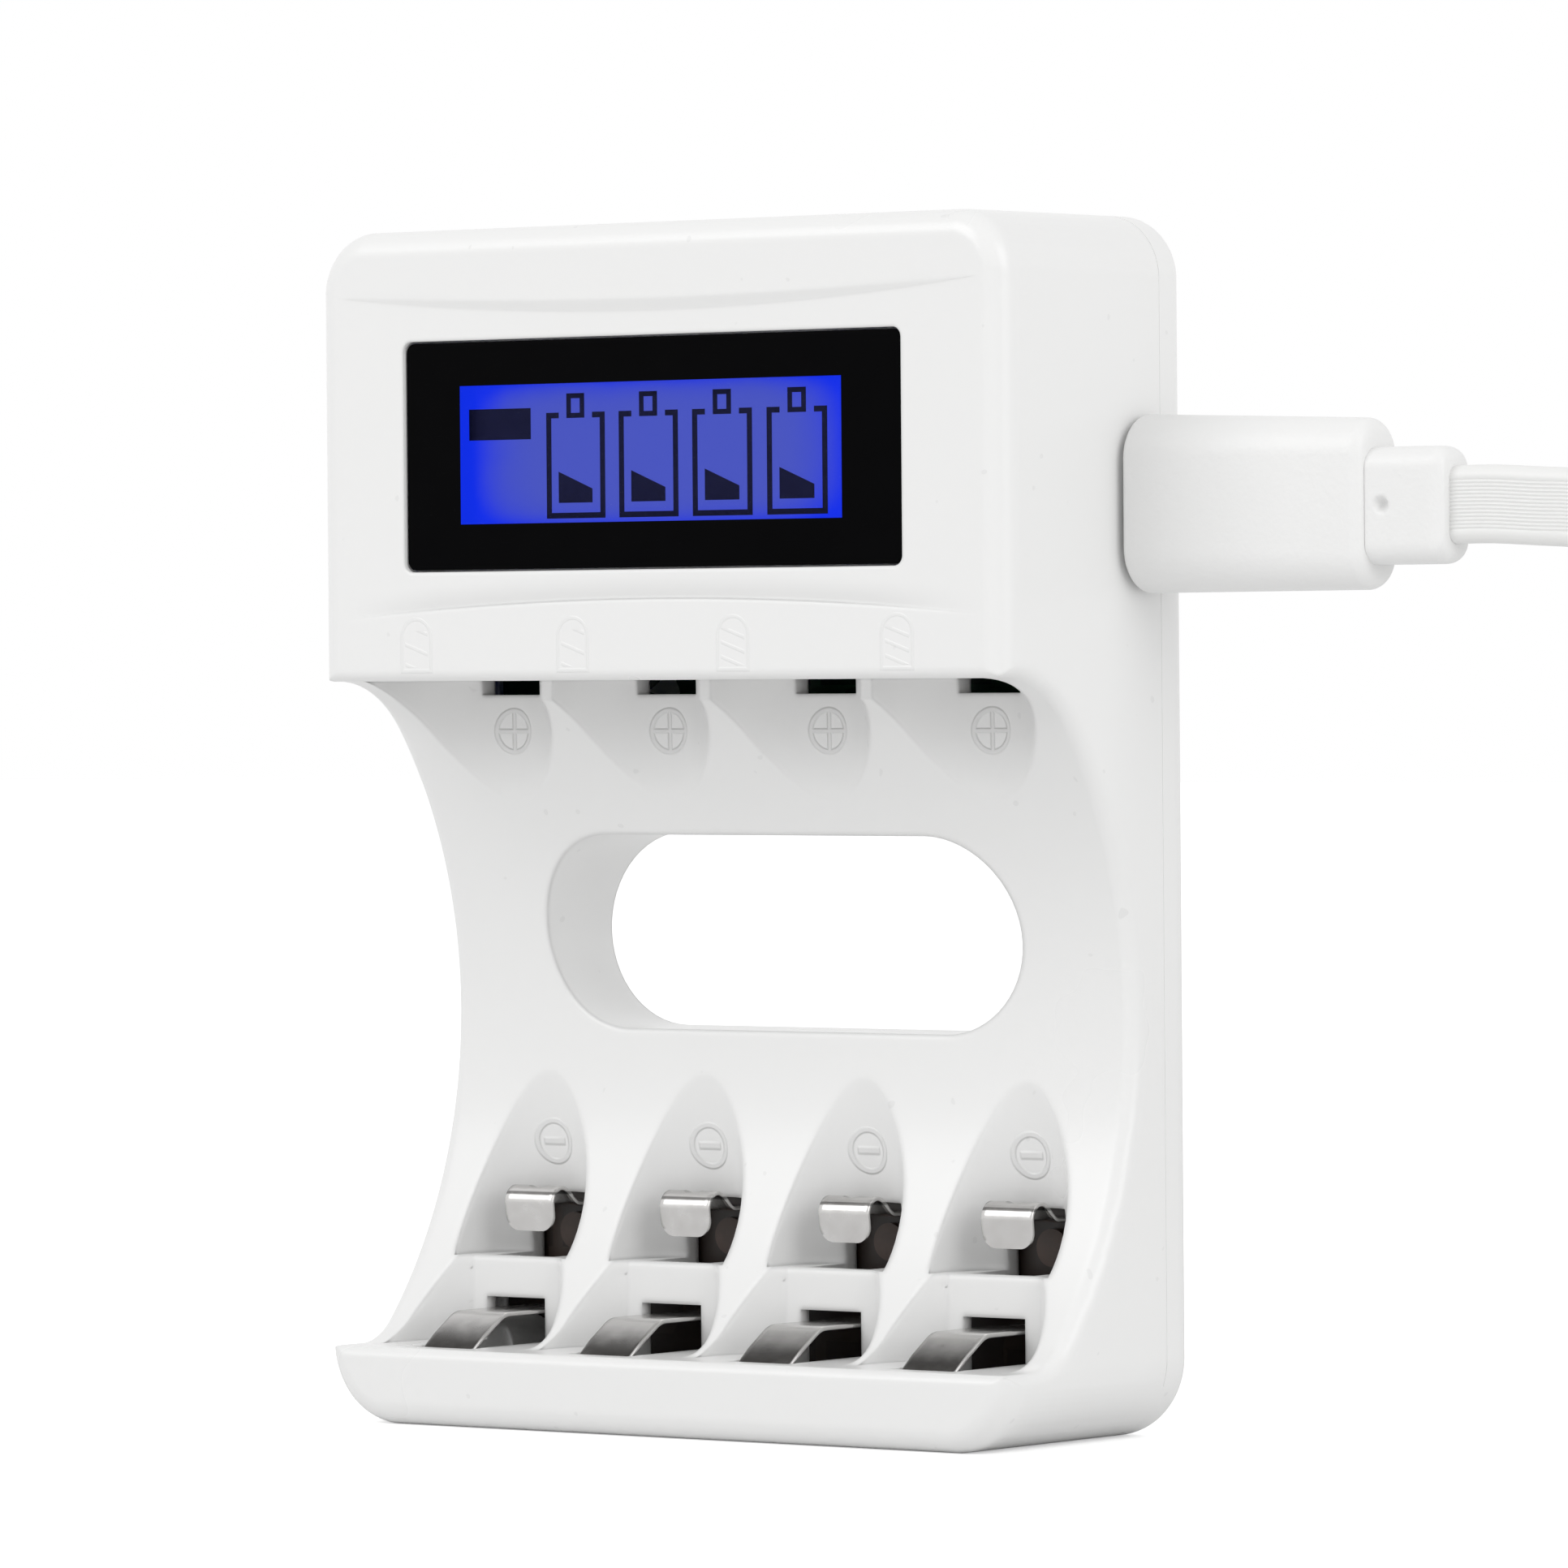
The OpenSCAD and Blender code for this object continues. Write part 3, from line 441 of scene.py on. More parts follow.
def loft(rings, closed_ends=True):
    """Points and faces of a skin over rings that all have the same number of points."""
    count = len(rings[0])
    points = [p for ring in rings for p in ring]
    faces = []
    for i in range(len(rings) - 1):
        for k in range(count):
            a, b = i * count + k, i * count + (k + 1) % count
            faces.append((a, b, b + count, a + count))
    if closed_ends:
        faces.append(tuple(reversed(range(count))))
        faces.append(tuple(range((len(rings) - 1) * count, len(rings) * count)))
    return points, faces


def arc(cy, cz, r, start, end, steps):
    turns = [math.radians(start + (end - start) * i / steps) for i in range(steps + 1)]
    return [(cy + r * math.cos(t), cz + r * math.sin(t)) for t in turns]


def sample_curve(points, steps):
    """Points on a smooth line through the given ones, with steps between each two."""
    made = []
    for i in range(len(points) - 1):
        p0 = points[max(i - 1, 0)]
        p1, p2 = points[i], points[i + 1]
        p3 = points[min(i + 2, len(points) - 1)]
        for k in range(steps):
            t = k / steps
            made.append(0.5 * ((2 * p1) + (p2 - p0) * t + (2 * p0 - 5 * p1 + 4 * p2 - p3) * t * t
                               + (3 * p1 - p0 - 3 * p2 + p3) * t ** 3))
    made.append(points[-1].copy())
    return made


# The housing's shells: the solids with edges that stay round at the corners and along the bay

def outline_ring(y, inset):
    """The body's outline seen from the front, smaller by an inset, at a depth."""
    corners = ((1, 1, CORNER_TOP), (-1, 1, CORNER_TOP), (-1, -1, CORNER_LOW), (1, -1, CORNER_LOW))
    ring = []
    for k, (sx, sz, r) in enumerate(corners):
        cx, cz = sx * (BODY_W / 2 - r), BODY_H / 2 + sz * (BODY_H / 2 - r)
        for i in range(19):
            t = math.radians(90 * k + 5 * i)
            ring.append((cx + (r - inset) * math.cos(t), y, cz + (r - inset) * math.sin(t)))
    return ring


def rounded_block():
    """Points and faces of the body's outer form, with its edges rounded all the way round."""
    turns = [math.radians(90 * i / 14) for i in range(15)]
    r = EDGE_R + CLEAR
    front = [outline_ring(FRONT + EDGE_R - r * math.cos(t), EDGE_R - r * math.sin(t)) for t in turns]
    back = [outline_ring(FRONT + BODY_D - EDGE_R + r * math.cos(t), EDGE_R - r * math.sin(t))
            for t in reversed(turns)]
    return loft(front + back)


def bay_ring(x, grow):
    """The bay's outline seen from the side, larger by grow, open to the front."""
    centre_y, centre_z = FRONT + BAY_DEPTH - BAY_ARC, (BAY_FLOOR + BAY_CEILING) / 2
    half = (BAY_CEILING - BAY_FLOOR) / 2
    spots = []
    for r, side in ((BAY_LOW, -1), (BAY_TOP, 1)):
        dz = side * (half - r)
        reach = BAY_ARC - r
        spots.append((math.sqrt(reach ** 2 - dz * dz), dz, r, math.degrees(math.asin(dz / reach))))
    (low_y, low_z, low_r, low_turn), (top_y, top_z, top_r, top_turn) = spots
    line = [(10, -half - grow)] + arc(low_y, low_z, low_r + grow, -90, low_turn, 16)
    line += arc(0, 0, BAY_ARC + grow, low_turn, top_turn, 48)[1:]
    line += arc(top_y, top_z, top_r + grow, top_turn, 90, 16)[1:] + [(10, half + grow)]
    return [(x, centre_y + q, centre_z + h) for q, h in line]


def bay_spool():
    """Points and faces of a body that fills the bay and widens where it meets the sides."""
    half, r = BODY_W / 2, BAY_SIDE
    rings = [(half + 1, r), (half + 0.005, r)]
    for i in range(1, 10):
        t = math.radians(10 * i)
        rings.append((half + 0.005 - r * (1 - math.cos(t)), r * (1 - math.sin(t)) - 0.04 * (i == 9)))
    right = [bay_ring(x, grow) for x, grow in rings]
    left = [bay_ring(-x, grow) for x, grow in reversed(rings)]
    return loft(right + left)


def brow():
    """Points and faces of a wedge that turns the step over the display field into a soft slope."""
    rings = []
    for i in range(41):
        x = -BROW_HALF + 2 * BROW_HALF * i / 40
        share = 1 - (x / BROW_HALF) ** 2
        low = FIELD_TOP + BROW_R - math.sqrt(BROW_R ** 2 - x * x) - 0.02
        slope = 1.0 * share + 0.02
        rings.append([(x, FRONT - 0.5, low), (x, FRONT + FIELD_SINK * share, low),
                      (x, FRONT - 0.02, low + slope), (x, FRONT - 0.5, low + slope + 0.1)])
    return loft(rings)


def fin_cut(x):
    """Points and faces of the notch in a rib between two slots, under the ceiling."""
    low, high, front, back = 58.0, BAY_CEILING - 0.005, FRONT + 0.6, FRONT + 6.6
    rings = [[(q, front, low), (q, back, low), (q, back, high), (q, front, high)] for q in (x - 2.4, x + 2.4)]
    return loft(rings)


def form_mesh(form, sharp):
    """Mesh of a cutting form, smooth but for edges over this angle."""
    points, faces = form
    mesh = bpy.data.meshes.new("cutter")
    mesh.from_pydata([Vector(p) * MM for p in points], [], faces)
    work = bmesh.new()
    work.from_mesh(mesh)
    bmesh.ops.recalc_face_normals(work, faces=work.faces)
    work.to_mesh(mesh)
    work.free()
    mesh.shade_smooth()
    mesh.set_sharp_from_angle(angle=math.radians(sharp))
    return mesh


def cut_with(piece, mesh, operation):
    """Cut the piece's mesh with a closed one."""
    cutter = bpy.data.objects.new("cutter", mesh)
    bpy.context.scene.collection.objects.link(cutter)
    change = piece.modifiers.new("cut", "BOOLEAN")
    change.operation = operation
    change.solver = "EXACT"
    change.object = cutter
    graph = bpy.context.evaluated_depsgraph_get()
    made = bpy.data.meshes.new_from_object(piece.evaluated_get(graph), depsgraph=graph)
    piece.modifiers.clear()
    piece.data = made
    bpy.data.objects.remove(cutter)


def surface_of(mesh):
    """Search tree, triangles and corner normals of a mesh."""
    mesh.calc_loop_triangles()
    points = [v.co.copy() for v in mesh.vertices]
    normals = [n.vector.copy() for n in mesh.corner_normals]
    triangles = [(tuple(t.vertices), tuple(t.loops)) for t in mesh.loop_triangles]
    return BVHTree.FromPolygons(points, [t[0] for t in triangles]), points, normals, triangles


def keep_normals(mesh, sources):
    """Give each face the shading of the surface that it comes from, so that the cuts leave no streaks."""
    surfaces = [surface_of(source) for source in sources]
    made = [None] * len(mesh.loops)
    for face in mesh.polygons:
        best = None
        for surface in surfaces:
            for _, normal, index, _ in surface[0].find_nearest_range(face.center, 0.000001):
                match = abs(normal.dot(face.normal))
                if match > 0.999 and (best is None or match > best[0] + 0.0001):
                    best = (match, surface, index)
            if best:
                break
        for loop in face.loop_indices:
            made[loop] = face.normal.copy()
            if best:
                _, points, normals, triangles = best[1]
                corners, loops = triangles[best[2]]
                spot = mesh.vertices[mesh.loops[loop].vertex_index].co
                shares = interpolate.poly_3d_calc([points[c] for c in corners], spot)
                normal = sum((normals[k] * share for k, share in zip(loops, shares)), Vector())
                if normal.length > 0.1:
                    normal.normalize()
                    made[loop] = normal if normal.dot(face.normal) > 0 else -normal
    mesh.shade_smooth()
    mesh.normals_split_custom_set(made)


def make_shell(name, node, cuts):
    """A housing part: its solid, welded and cut to the rounded forms."""
    solid = frame["nodes"][node].data
    mesh = solid.copy()
    work = bmesh.new()
    work.from_mesh(mesh)
    bmesh.ops.remove_doubles(work, verts=work.verts, dist=0.0000005)
    work.to_mesh(mesh)
    work.free()
    piece = bpy.data.objects.new(name, mesh)
    bpy.context.scene.collection.objects.link(piece)
    cutters = [(form_mesh(form, 30), operation) for form, operation in cuts]
    for cutter, operation in cutters:
        cut_with(piece, cutter, operation)
    piece.data.name = name
    piece.data.materials.clear()
    piece.data.materials.append(FINISHES["housing_white"])
    keep_normals(piece.data, [solid] + [cutter for cutter, _ in cutters])
    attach(piece, BODY)
    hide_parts(node)


def make_housing():
    """Both shells, and the band that nearly fills the groove of the seam between them."""
    block = rounded_block()
    cuts = [(block, "INTERSECT"), (bay_spool(), "DIFFERENCE"), (brow(), "DIFFERENCE")]
    cuts += [(fin_cut(x), "DIFFERENCE") for x in (-PITCH, 0, PITCH)]
    make_shell("front_shell", "front_housing", cuts)
    make_shell("back_shell", "rear_cover", [(block, "INTERSECT")])
    low, high = SEAM_Y - 0.1, SEAM_Y + SEAM + 0.1
    rings = [outline_ring(y, inset) for y, inset in ((low, 0.03), (high, 0.03), (high, 0.8), (low, 0.8))]
    points, faces = loft(rings + rings[:1], closed_ends=False)
    add_piece("seam_band", points, faces, "housing_white")


# The cable: route, coil and tail, with the ribs that run along it

PORT_Y = 18.3 + FRONT
PORT_Z = 73.0
RELIEF_Z = 72.5
CABLE_X = 63.5
CABLE_W, CABLE_T = 6.0, 2.0
DROP = [
    (0, 0, 1), (3.5, 0, 1), (7.5, 0, 0.997), (11.5, 0, 0.993),
    (15.1, 0.6, 0.981), (18, 2.3, 0.95), (19.8, 5.1, 0.9), (20.4, 8.7, 0.835),
    (20.2, 12.4, 0.761), (19.4, 16, 0.68), (18.3, 19.4, 0.594), (17, 22.6, 0.502),
    (15.5, 25.6, 0.407), (13.8, 28.2, 0.315), (11.8, 30, 0.225), (9.8, 30.4, 0.14),
    (8.4, 28.8, 0.069), (8, 25.2, 0.02), (8, 20.8, 0.001), (8, 16.8, 0)]
ROUTE = [(CABLE_X + x, PORT_Y + y, CABLE_W / 2 + share * (RELIEF_Z - CABLE_W / 2))
         for x, y, share in DROP]
ROUTE_WIDE = [
    (0, 0, 1), (0, 0, 1), (0, 0, 1), (0, 0.1, 1),
    (0, 0.3, 1), (0, 0.7, 0.8), (-0.2, 1, 0.5), (-0.2, 1, 0.3),
    (0, 1, 0.2), (0.2, 1, 0), (0.5, 1, 0), (0.8, 0.8, 0),
    (1, 0.5, 0), (1, 0.2, 0), (1, 0, 0), (1, 0, 0),
    (1, 0, 0), (1, 0, 0.1), (1, 0, 0.8), (0, 0, 1)]
COIL_X, COIL_Y = CABLE_X + 40.7, PORT_Y + 16.8
COIL_TURNS, COIL_PITCH, COIL_OUT = 2.5, 2.12, 32.7
COIL_IN = COIL_OUT - COIL_PITCH * COIL_TURNS
TAIL_STEPS = [
    (0, 0, 0), (-0.8, 5.1, 0.2), (-3, 8.8, 0.6), (-6.4, 11.6, 1), (-10.5, 13, 1), (-14.9, 12.8, 1)]
TAIL = [(COIL_X + COIL_IN + x, COIL_Y + y, CABLE_W / 2 + z) for x, y, z in TAIL_STEPS]
TAIL_WIDE = [(0, 0, 1), (0.2, 0, 1), (0.6, 0.4, 0.8), (0.6, 1, 0.5), (0, 1, 0.1), (0, 1, 0)]
RIBS = 14


def coil_points():
    """Two and a half turns from the outside inwards, starting on the left and ending on the right."""
    steps = 125
    made = []
    for i in range(1, steps):
        share = i / steps
        turn = math.pi + 2 * math.pi * COIL_TURNS * share
        r = COIL_OUT + (COIL_IN - COIL_OUT) * share
        made.append(Vector((COIL_X + r * math.cos(turn), COIL_Y + r * math.sin(turn), CABLE_W / 2)))
    return made


def cable_line():
    """Centreline of the cable and the direction of its wide side at each of its points."""
    route = sample_curve([Vector(p) for p in ROUTE], 5)
    wide = sample_curve([Vector(w).normalized() for w in ROUTE_WIDE], 5)
    coil = coil_points()
    tail = sample_curve([Vector(p) for p in TAIL], 5)
    tail_wide = sample_curve([Vector(w).normalized() for w in TAIL_WIDE], 5)
    line = route + coil + tail
    return line, wide + [Vector((0, 0, 1))] * len(coil) + tail_wide


def ribbed_section():
    """Flat section with round ends and ribs on both wide sides: offsets in width and thickness."""
    half_w, half_t, depth = CABLE_W / 2, CABLE_T / 2, 0.09
    straight = half_w - half_t
    top = []
    steps = RIBS * 4
    for i in range(steps + 1):
        u = -straight + 2 * straight * i / steps
        top.append((u, half_t - depth * (0.5 - 0.5 * math.cos(2 * math.pi * RIBS * i / steps))))
    end = [(straight + half_t * math.sin(t), half_t * math.cos(t)) for t in
           (math.radians(a) for a in range(20, 180, 20))]
    return top + end + [(-u, -v) for u, v in top + end]


def make_cable():
    """The cable in one piece, with its centreline in metres and its length."""
    line, wide = cable_line()
    section = ribbed_section()
    rings = []
    for i, p in enumerate(line):
        ahead = (line[min(i + 1, len(line) - 1)] - line[max(i - 1, 0)]).normalized()
        w = (wide[i] - ahead * wide[i].dot(ahead)).normalized()
        t = ahead.cross(w)
        rings.append([p + w * u + t * v for u, v in section])
    points, faces = loft(rings)
    piece = add_piece("cable_lead", points, faces, "cable_white",
                      nodes=("cable", "cable_coil", "cable_tail"), sharp=60)
    path = [p * MM for p in line]
    length = sum((b - a).length for a, b in zip(path, path[1:]))
    return piece, path, length


# Plugs

def stadium_ring(x, y, z, height, thick, count=48):
    """Ring with round ends above and below, standing across X."""
    r = thick / 2
    straight = height / 2 - r
    ring = []
    half = count // 2
    for i in range(half):
        t = math.pi * i / (half - 1)
        ring.append((x, y + r * math.cos(t), z + straight + r * math.sin(t)))
    for i in range(half):
        t = math.pi + math.pi * i / (half - 1)
        ring.append((x, y + r * math.cos(t), z - straight + r * math.sin(t)))
    return ring


def rounded_ring(x, y, z, height, thick, r, per=8):
    """Rectangle with round corners, standing across X."""
    ring = []
    for k, (sy, sz) in enumerate(((1, 1), (-1, 1), (-1, -1), (1, -1))):
        cy, cz = y + sy * (thick / 2 - r), z + sz * (height / 2 - r)
        for i in range(per + 1):
            t = math.radians(90 * k + 90 * i / per)
            ring.append((x, cy + r * math.cos(t), cz + r * math.sin(t)))
    return ring


def make_side_plug():
    """The moulded plug: round at both ends, a little slimmer towards the cable."""
    start, end, lead, soft = 34.7, 56.5, 0.45, 1.1
    height, thick, end_height, end_thick = 13.9, 7.0, 13.2, 5.8
    rings = []
    for i in range(9):
        t = math.radians(90 * i / 8)
        shrink = lead * (1 - math.sin(t))
        rings.append(stadium_ring(start + lead * (1 - math.cos(t)), PORT_Y, PORT_Z,
                                  height - 2 * shrink, thick - 2 * shrink))
    for i in range(1, 12):
        s = i / 11
        rings.append(stadium_ring(start + lead + (end - start - soft - lead) * s, PORT_Y, PORT_Z - 0.3 * s,
                                  height - 0.7 * s, thick - 1.2 * s))
    for i in range(1, 9):
        t = math.radians(90 * i / 8)
        shrink = soft * (1 - math.cos(t))
        rings.append(stadium_ring(end - soft + soft * math.sin(t), PORT_Y, PORT_Z - 0.3,
                                  end_height - 2 * shrink, end_thick - 2 * shrink))
    points, faces = loft(rings)
    add_piece("plug_moulding", points, faces, "plug_white", nodes=("plug_body",))


def make_relief():
    """Strain relief: a rounded block with a small dimple on its front."""
    start, end, nose = CABLE_X - 7, CABLE_X, 1.4
    height, thick = 9.0, 4.2
    rings = []
    for i in range(29):
        rings.append(fine_ring(start + (end - nose - start) * i / 28, height, thick, 1.6))
    for i in range(1, 9):
        t = math.radians(90 * i / 8)
        shrink = 0.9 * (1 - math.cos(t))
        rings.append(fine_ring(end - nose + nose * math.sin(t),
                               height - 2 * shrink, thick - 1.2 * shrink, 1.5 - 0.4 * shrink))
    dimple_x, dimple_z, dimple_r = start + 1.5, RELIEF_Z + 0.1, 0.62
    for ring in rings:
        for k, (x, y, z) in enumerate(ring):
            off = math.hypot(x - dimple_x, z - dimple_z) / dimple_r
            if y < PORT_Y and off < 1:
                ring[k] = (x, y + 0.8 * (1 - off * off), z)
    points, faces = loft(rings)
    add_piece("relief_moulding", points, faces, "plug_white", nodes=("strain_relief",), sharp=60)


def fine_ring(x, height, thick, r):
    """Ring round the strain relief with points close together along its wide sides."""
    plain = rounded_ring(x, PORT_Y, RELIEF_Z, height, thick, r)
    ring = []
    for i, p in enumerate(plain):
        q = plain[(i + 1) % len(plain)]
        ring.append(p)
        if (i + 1) % 9 == 0:
            count = 24 if abs(q[2] - p[2]) > abs(q[1] - p[1]) else 4
            ring += [tuple(p[k] + (q[k] - p[k]) * j / count for k in range(3)) for j in range(1, count)]
    return ring


# The far plug: moulded body, hollow metal shell and its tongue, and the tie on the coil

FAR_TURN = 192


def far_ring(along, width, height, r, per=6):
    """Rounded rectangle across the far plug's length, at a distance from where the cable ends."""
    turn = math.radians(FAR_TURN)
    ahead = Vector((math.cos(turn), math.sin(turn), 0))
    side = Vector((-ahead.y, ahead.x, 0))
    base = Vector(TAIL[-1]) + ahead * along
    ring = []
    for k, (su, sv) in enumerate(((1, 1), (-1, 1), (-1, -1), (1, -1))):
        for i in range(per + 1):
            t = math.radians(90 * k + 90 * i / per)
            u = su * (width / 2 - r) + r * math.cos(t)
            v = sv * (height / 2 - r) + r * math.sin(t)
            ring.append(base + side * u + Vector((0, 0, v)))
    return ring


def make_far_plug():
    body = []
    for i in range(41):
        share = i / 40
        shoulder = min(1.0, math.sin(min(share / 0.28, 1.0) * math.pi / 2) * 0.45 + 0.55)
        ridge = 0.25 * (math.sin(share * 16 * math.pi) > 0.2) * (0.2 < share < 0.7)
        close = 0.5 * max(0.0, (share - 0.94) / 0.06)
        width, height = 15.6 * shoulder - 2 * close - ridge, 8 * min(1.0, shoulder + 0.1) - 2 * close
        body.append(far_ring(18 * share, width, height, min(2.4, height / 2 - 0.05)))
    points, faces = loft(body)
    moulding = add_piece("far_plug_moulding", points, faces, "plug_white", nodes=("far_plug_body",), sharp=50)
    wall = 0.3
    shell = [far_ring(18, 12, 4.5, 0.6), far_ring(29.8, 12, 4.5, 0.6), far_ring(30, 11.8, 4.3, 0.5)]
    shell += [far_ring(along, 12 - 2 * wall, 4.5 - 2 * wall, 0.4) for along in (30, 19)]
    points, faces = loft(shell)
    sleeve = add_piece("far_plug_sleeve", points, faces, "steel_plated", nodes=("far_plug_shell",), sharp=50)
    tongue = [far_ring(19, 10.6, 1.8, 0.2), far_ring(29, 10.6, 1.8, 0.2), far_ring(29.3, 10.2, 1.4, 0.2)]
    for ring in tongue:
        for point in ring:
            point.z += 0.85
    points, faces = loft(tongue)
    return [moulding, sleeve, add_piece("far_plug_tongue", points, faces, "plastic_dark", sharp=50)]


def make_tie():
    """Strap over the coil, with round shoulders."""
    turn = math.radians(45)
    out = Vector((math.cos(turn), math.sin(turn), 0))
    side = Vector((-out.y, out.x, 0))
    low, high, top, r, thick, width = COIL_IN - 1.2, COIL_OUT + 1.2, 6.2, 0.7, 0.8, 4.0
    lines = []
    for grow in (0, thick):
        line = arc(low + r, top - r, r + grow, 180, 90, 6) + arc(high - r, top - r, r + grow, 90, 0, 6)
        lines.append([(low - grow, 0)] + line + [(high + grow, 0)])
    rings = []
    for (a, b), (c, d) in zip(*lines):
        rings.append([Vector((COIL_X, COIL_Y, 0)) + out * q + side * w + Vector((0, 0, h))
                      for q, h, w in ((a, b, -width / 2), (a, b, width / 2), (c, d, width / 2 - 0.2),
                                      (c, d, -width / 2 + 0.2))])
    points, faces = loft(rings)
    return add_piece("cable_strap", points, faces, "tie_black", nodes=("cable_tie",), sharp=35)


# Spring contacts: strips bent from sheet, with round corners and worn edges

SHEET = 0.35


def strip_ring(x, y, z, along, width, lift=None, bevel=0.07, across=13):
    """Ring round a strip's section at a point of its path; lift raises the outer face across the width."""
    ahead = Vector((0, along[0], along[1])).normalized()
    out = Vector((0, -ahead.z, ahead.y))
    centre = Vector((x, y, z))
    half, thick = width / 2, SHEET / 2
    bevel = min(bevel, half * 0.4)
    places = [-half + bevel + (width - 2 * bevel) * i / (across - 1) for i in range(across)]
    flank, side = out * (thick - bevel), Vector((half, 0, 0))
    ring = [centre + Vector((u, 0, 0)) + out * (thick + (lift(u) if lift else 0)) for u in places]
    ring += [centre + side + flank, centre + side - flank]
    ring += [centre + Vector((u, 0, 0)) - out * (thick - (lift(u) if lift else 0)) for u in reversed(places)]
    ring += [centre - side - flank, centre - side + flank]
    return ring


def make_strip(name, path, x, width, tip_r, body, node, dome=None):
    """Strip along a path of depths and heights; its free end has round corners."""
    flat = [Vector((0, y + FRONT, z)) for y, z in path]
    reach = [0.0]
    for a, b in zip(flat, flat[1:]):
        reach.append(reach[-1] + (b - a).length)
    total = reach[-1]
    steps = [total * i / 90 for i in range(78)]
    steps += [total - tip_r + tip_r * math.sin(math.radians(90 * i / 14)) for i in range(15)]
    steps = sorted(set(round(v, 5) for v in steps))
    rings = []
    k = 0
    for far in steps:
        while k < len(reach) - 2 and reach[k + 1] < far:
            k += 1
        share = (far - reach[k]) / max(reach[k + 1] - reach[k], 1e-9)
        p = flat[k].lerp(flat[k + 1], min(max(share, 0), 1))
        before, after = flat[max(k - 1, 0)], flat[min(k + 2, len(flat) - 1)]
        along = (flat[k + 1] - flat[k]).normalized().lerp((after - before).normalized(), 0.5)
        short = tip_r - (total - far)
        w = width
        if short > 0:
            w = width - 2 * (tip_r - math.sqrt(max(tip_r ** 2 - short ** 2, 0))) * 0.98
        lift = None
        if dome:
            dz = far - dome[0]
            lift = lambda u, dz=dz: dome[2] * max(0.0, 1 - (u * u + dz * dz) / dome[1] ** 2) ** 1.5
        rings.append(strip_ring(x, p.y, p.z, (along.y, along.z), w, lift))
    points, faces = loft(rings)
    add_piece(name, points, faces, "contact_nickel", body, nodes=(node,), sharp=50)


def leaf_path():
    """An AA contact seen from the side: flat root, long slope and a curl at the tip."""
    slope, r, curl = 32.0, 2.5, 0.9
    mid = 8.8 - SHEET / 2
    path = [(19.3 - 11.3 * i / 12, mid) for i in range(12)]
    path += arc(8, mid - r, r, 90, 90 + slope, 12)
    end = path[-1]
    tip_y = 3 + SHEET / 2 + curl
    start_y = tip_y + curl * math.cos(math.radians(90 + slope))
    start_z = end[1] - (end[0] - start_y) * math.tan(math.radians(slope))
    for i in range(1, 8):
        path.append((end[0] + (start_y - end[0]) * i / 8, end[1] + (start_z - end[1]) * i / 8))
    return path + arc(tip_y, start_z - curl * math.sin(math.radians(90 + slope)), curl, 90 + slope, 200, 16)


def hook_path():
    """An AAA contact seen from the side: root, soft step up, round nose and the end that points down."""
    strip, rise, top_y, nose = 17.1, 1.35, 14.95, 1.2
    path = [(19.3 - 1.9 * i / 4, strip) for i in range(4)]
    for i in range(17):
        share = i / 16
        path.append((17.4 + (top_y - 17.4) * share, strip + rise * (1 - math.cos(math.pi * share)) / 2))
    path += arc(top_y, strip + rise - nose, nose, 90, 180, 16)[1:]
    start = path[-1]
    return path + [(start[0] + 0.25 * i / 6, start[1] + (15 - start[1]) * i / 6) for i in range(1, 7)]


def along_to(path, y, above):
    """Length of the path from its root to the first point in front of this depth and over this height."""
    far = 0.0
    for a, b in zip(path, path[1:]):
        if b[0] <= y and b[1] > above:
            return far
        far += math.hypot(b[0] - a[0], b[1] - a[1])
    return far


def make_contacts():
    hook = hook_path()
    for i, x in enumerate(SLOTS, 1):
        make_strip("aa_leaf_%d" % i, leaf_path(), x, 5.3, 0.7, "aa_spring_%d" % i, "aa_contact_%d" % i)
        make_strip("aaa_hook_%d" % i, hook, x, 5.0, 1.3, "aaa_spring_%d" % i, "aaa_contact_%d" % i,
                   dome=(along_to(hook, 14.95, 18), 0.75, 0.3))


# Segments of the display: thin dark shapes on the front of the liquid crystal

GLASS_Y = 1.6 + FRONT
CELLS = [-11.75, -4.42, 2.93, 10.30]


def prism(outline, front, back):
    """Points and faces of an outline in width and height drawn through a depth."""
    n = len(outline)
    points = [(x, front, z) for x, z in outline] + [(x, back, z) for x, z in outline]
    faces = [tuple(range(n)), tuple(reversed(range(n, 2 * n)))]
    faces += [(i, (i + 1) % n, (i + 1) % n + n, i + n) for i in range(n)]
    return points, faces


def box(left, low, right, high):
    return [(left, low), (right, low), (right, high), (left, high)]


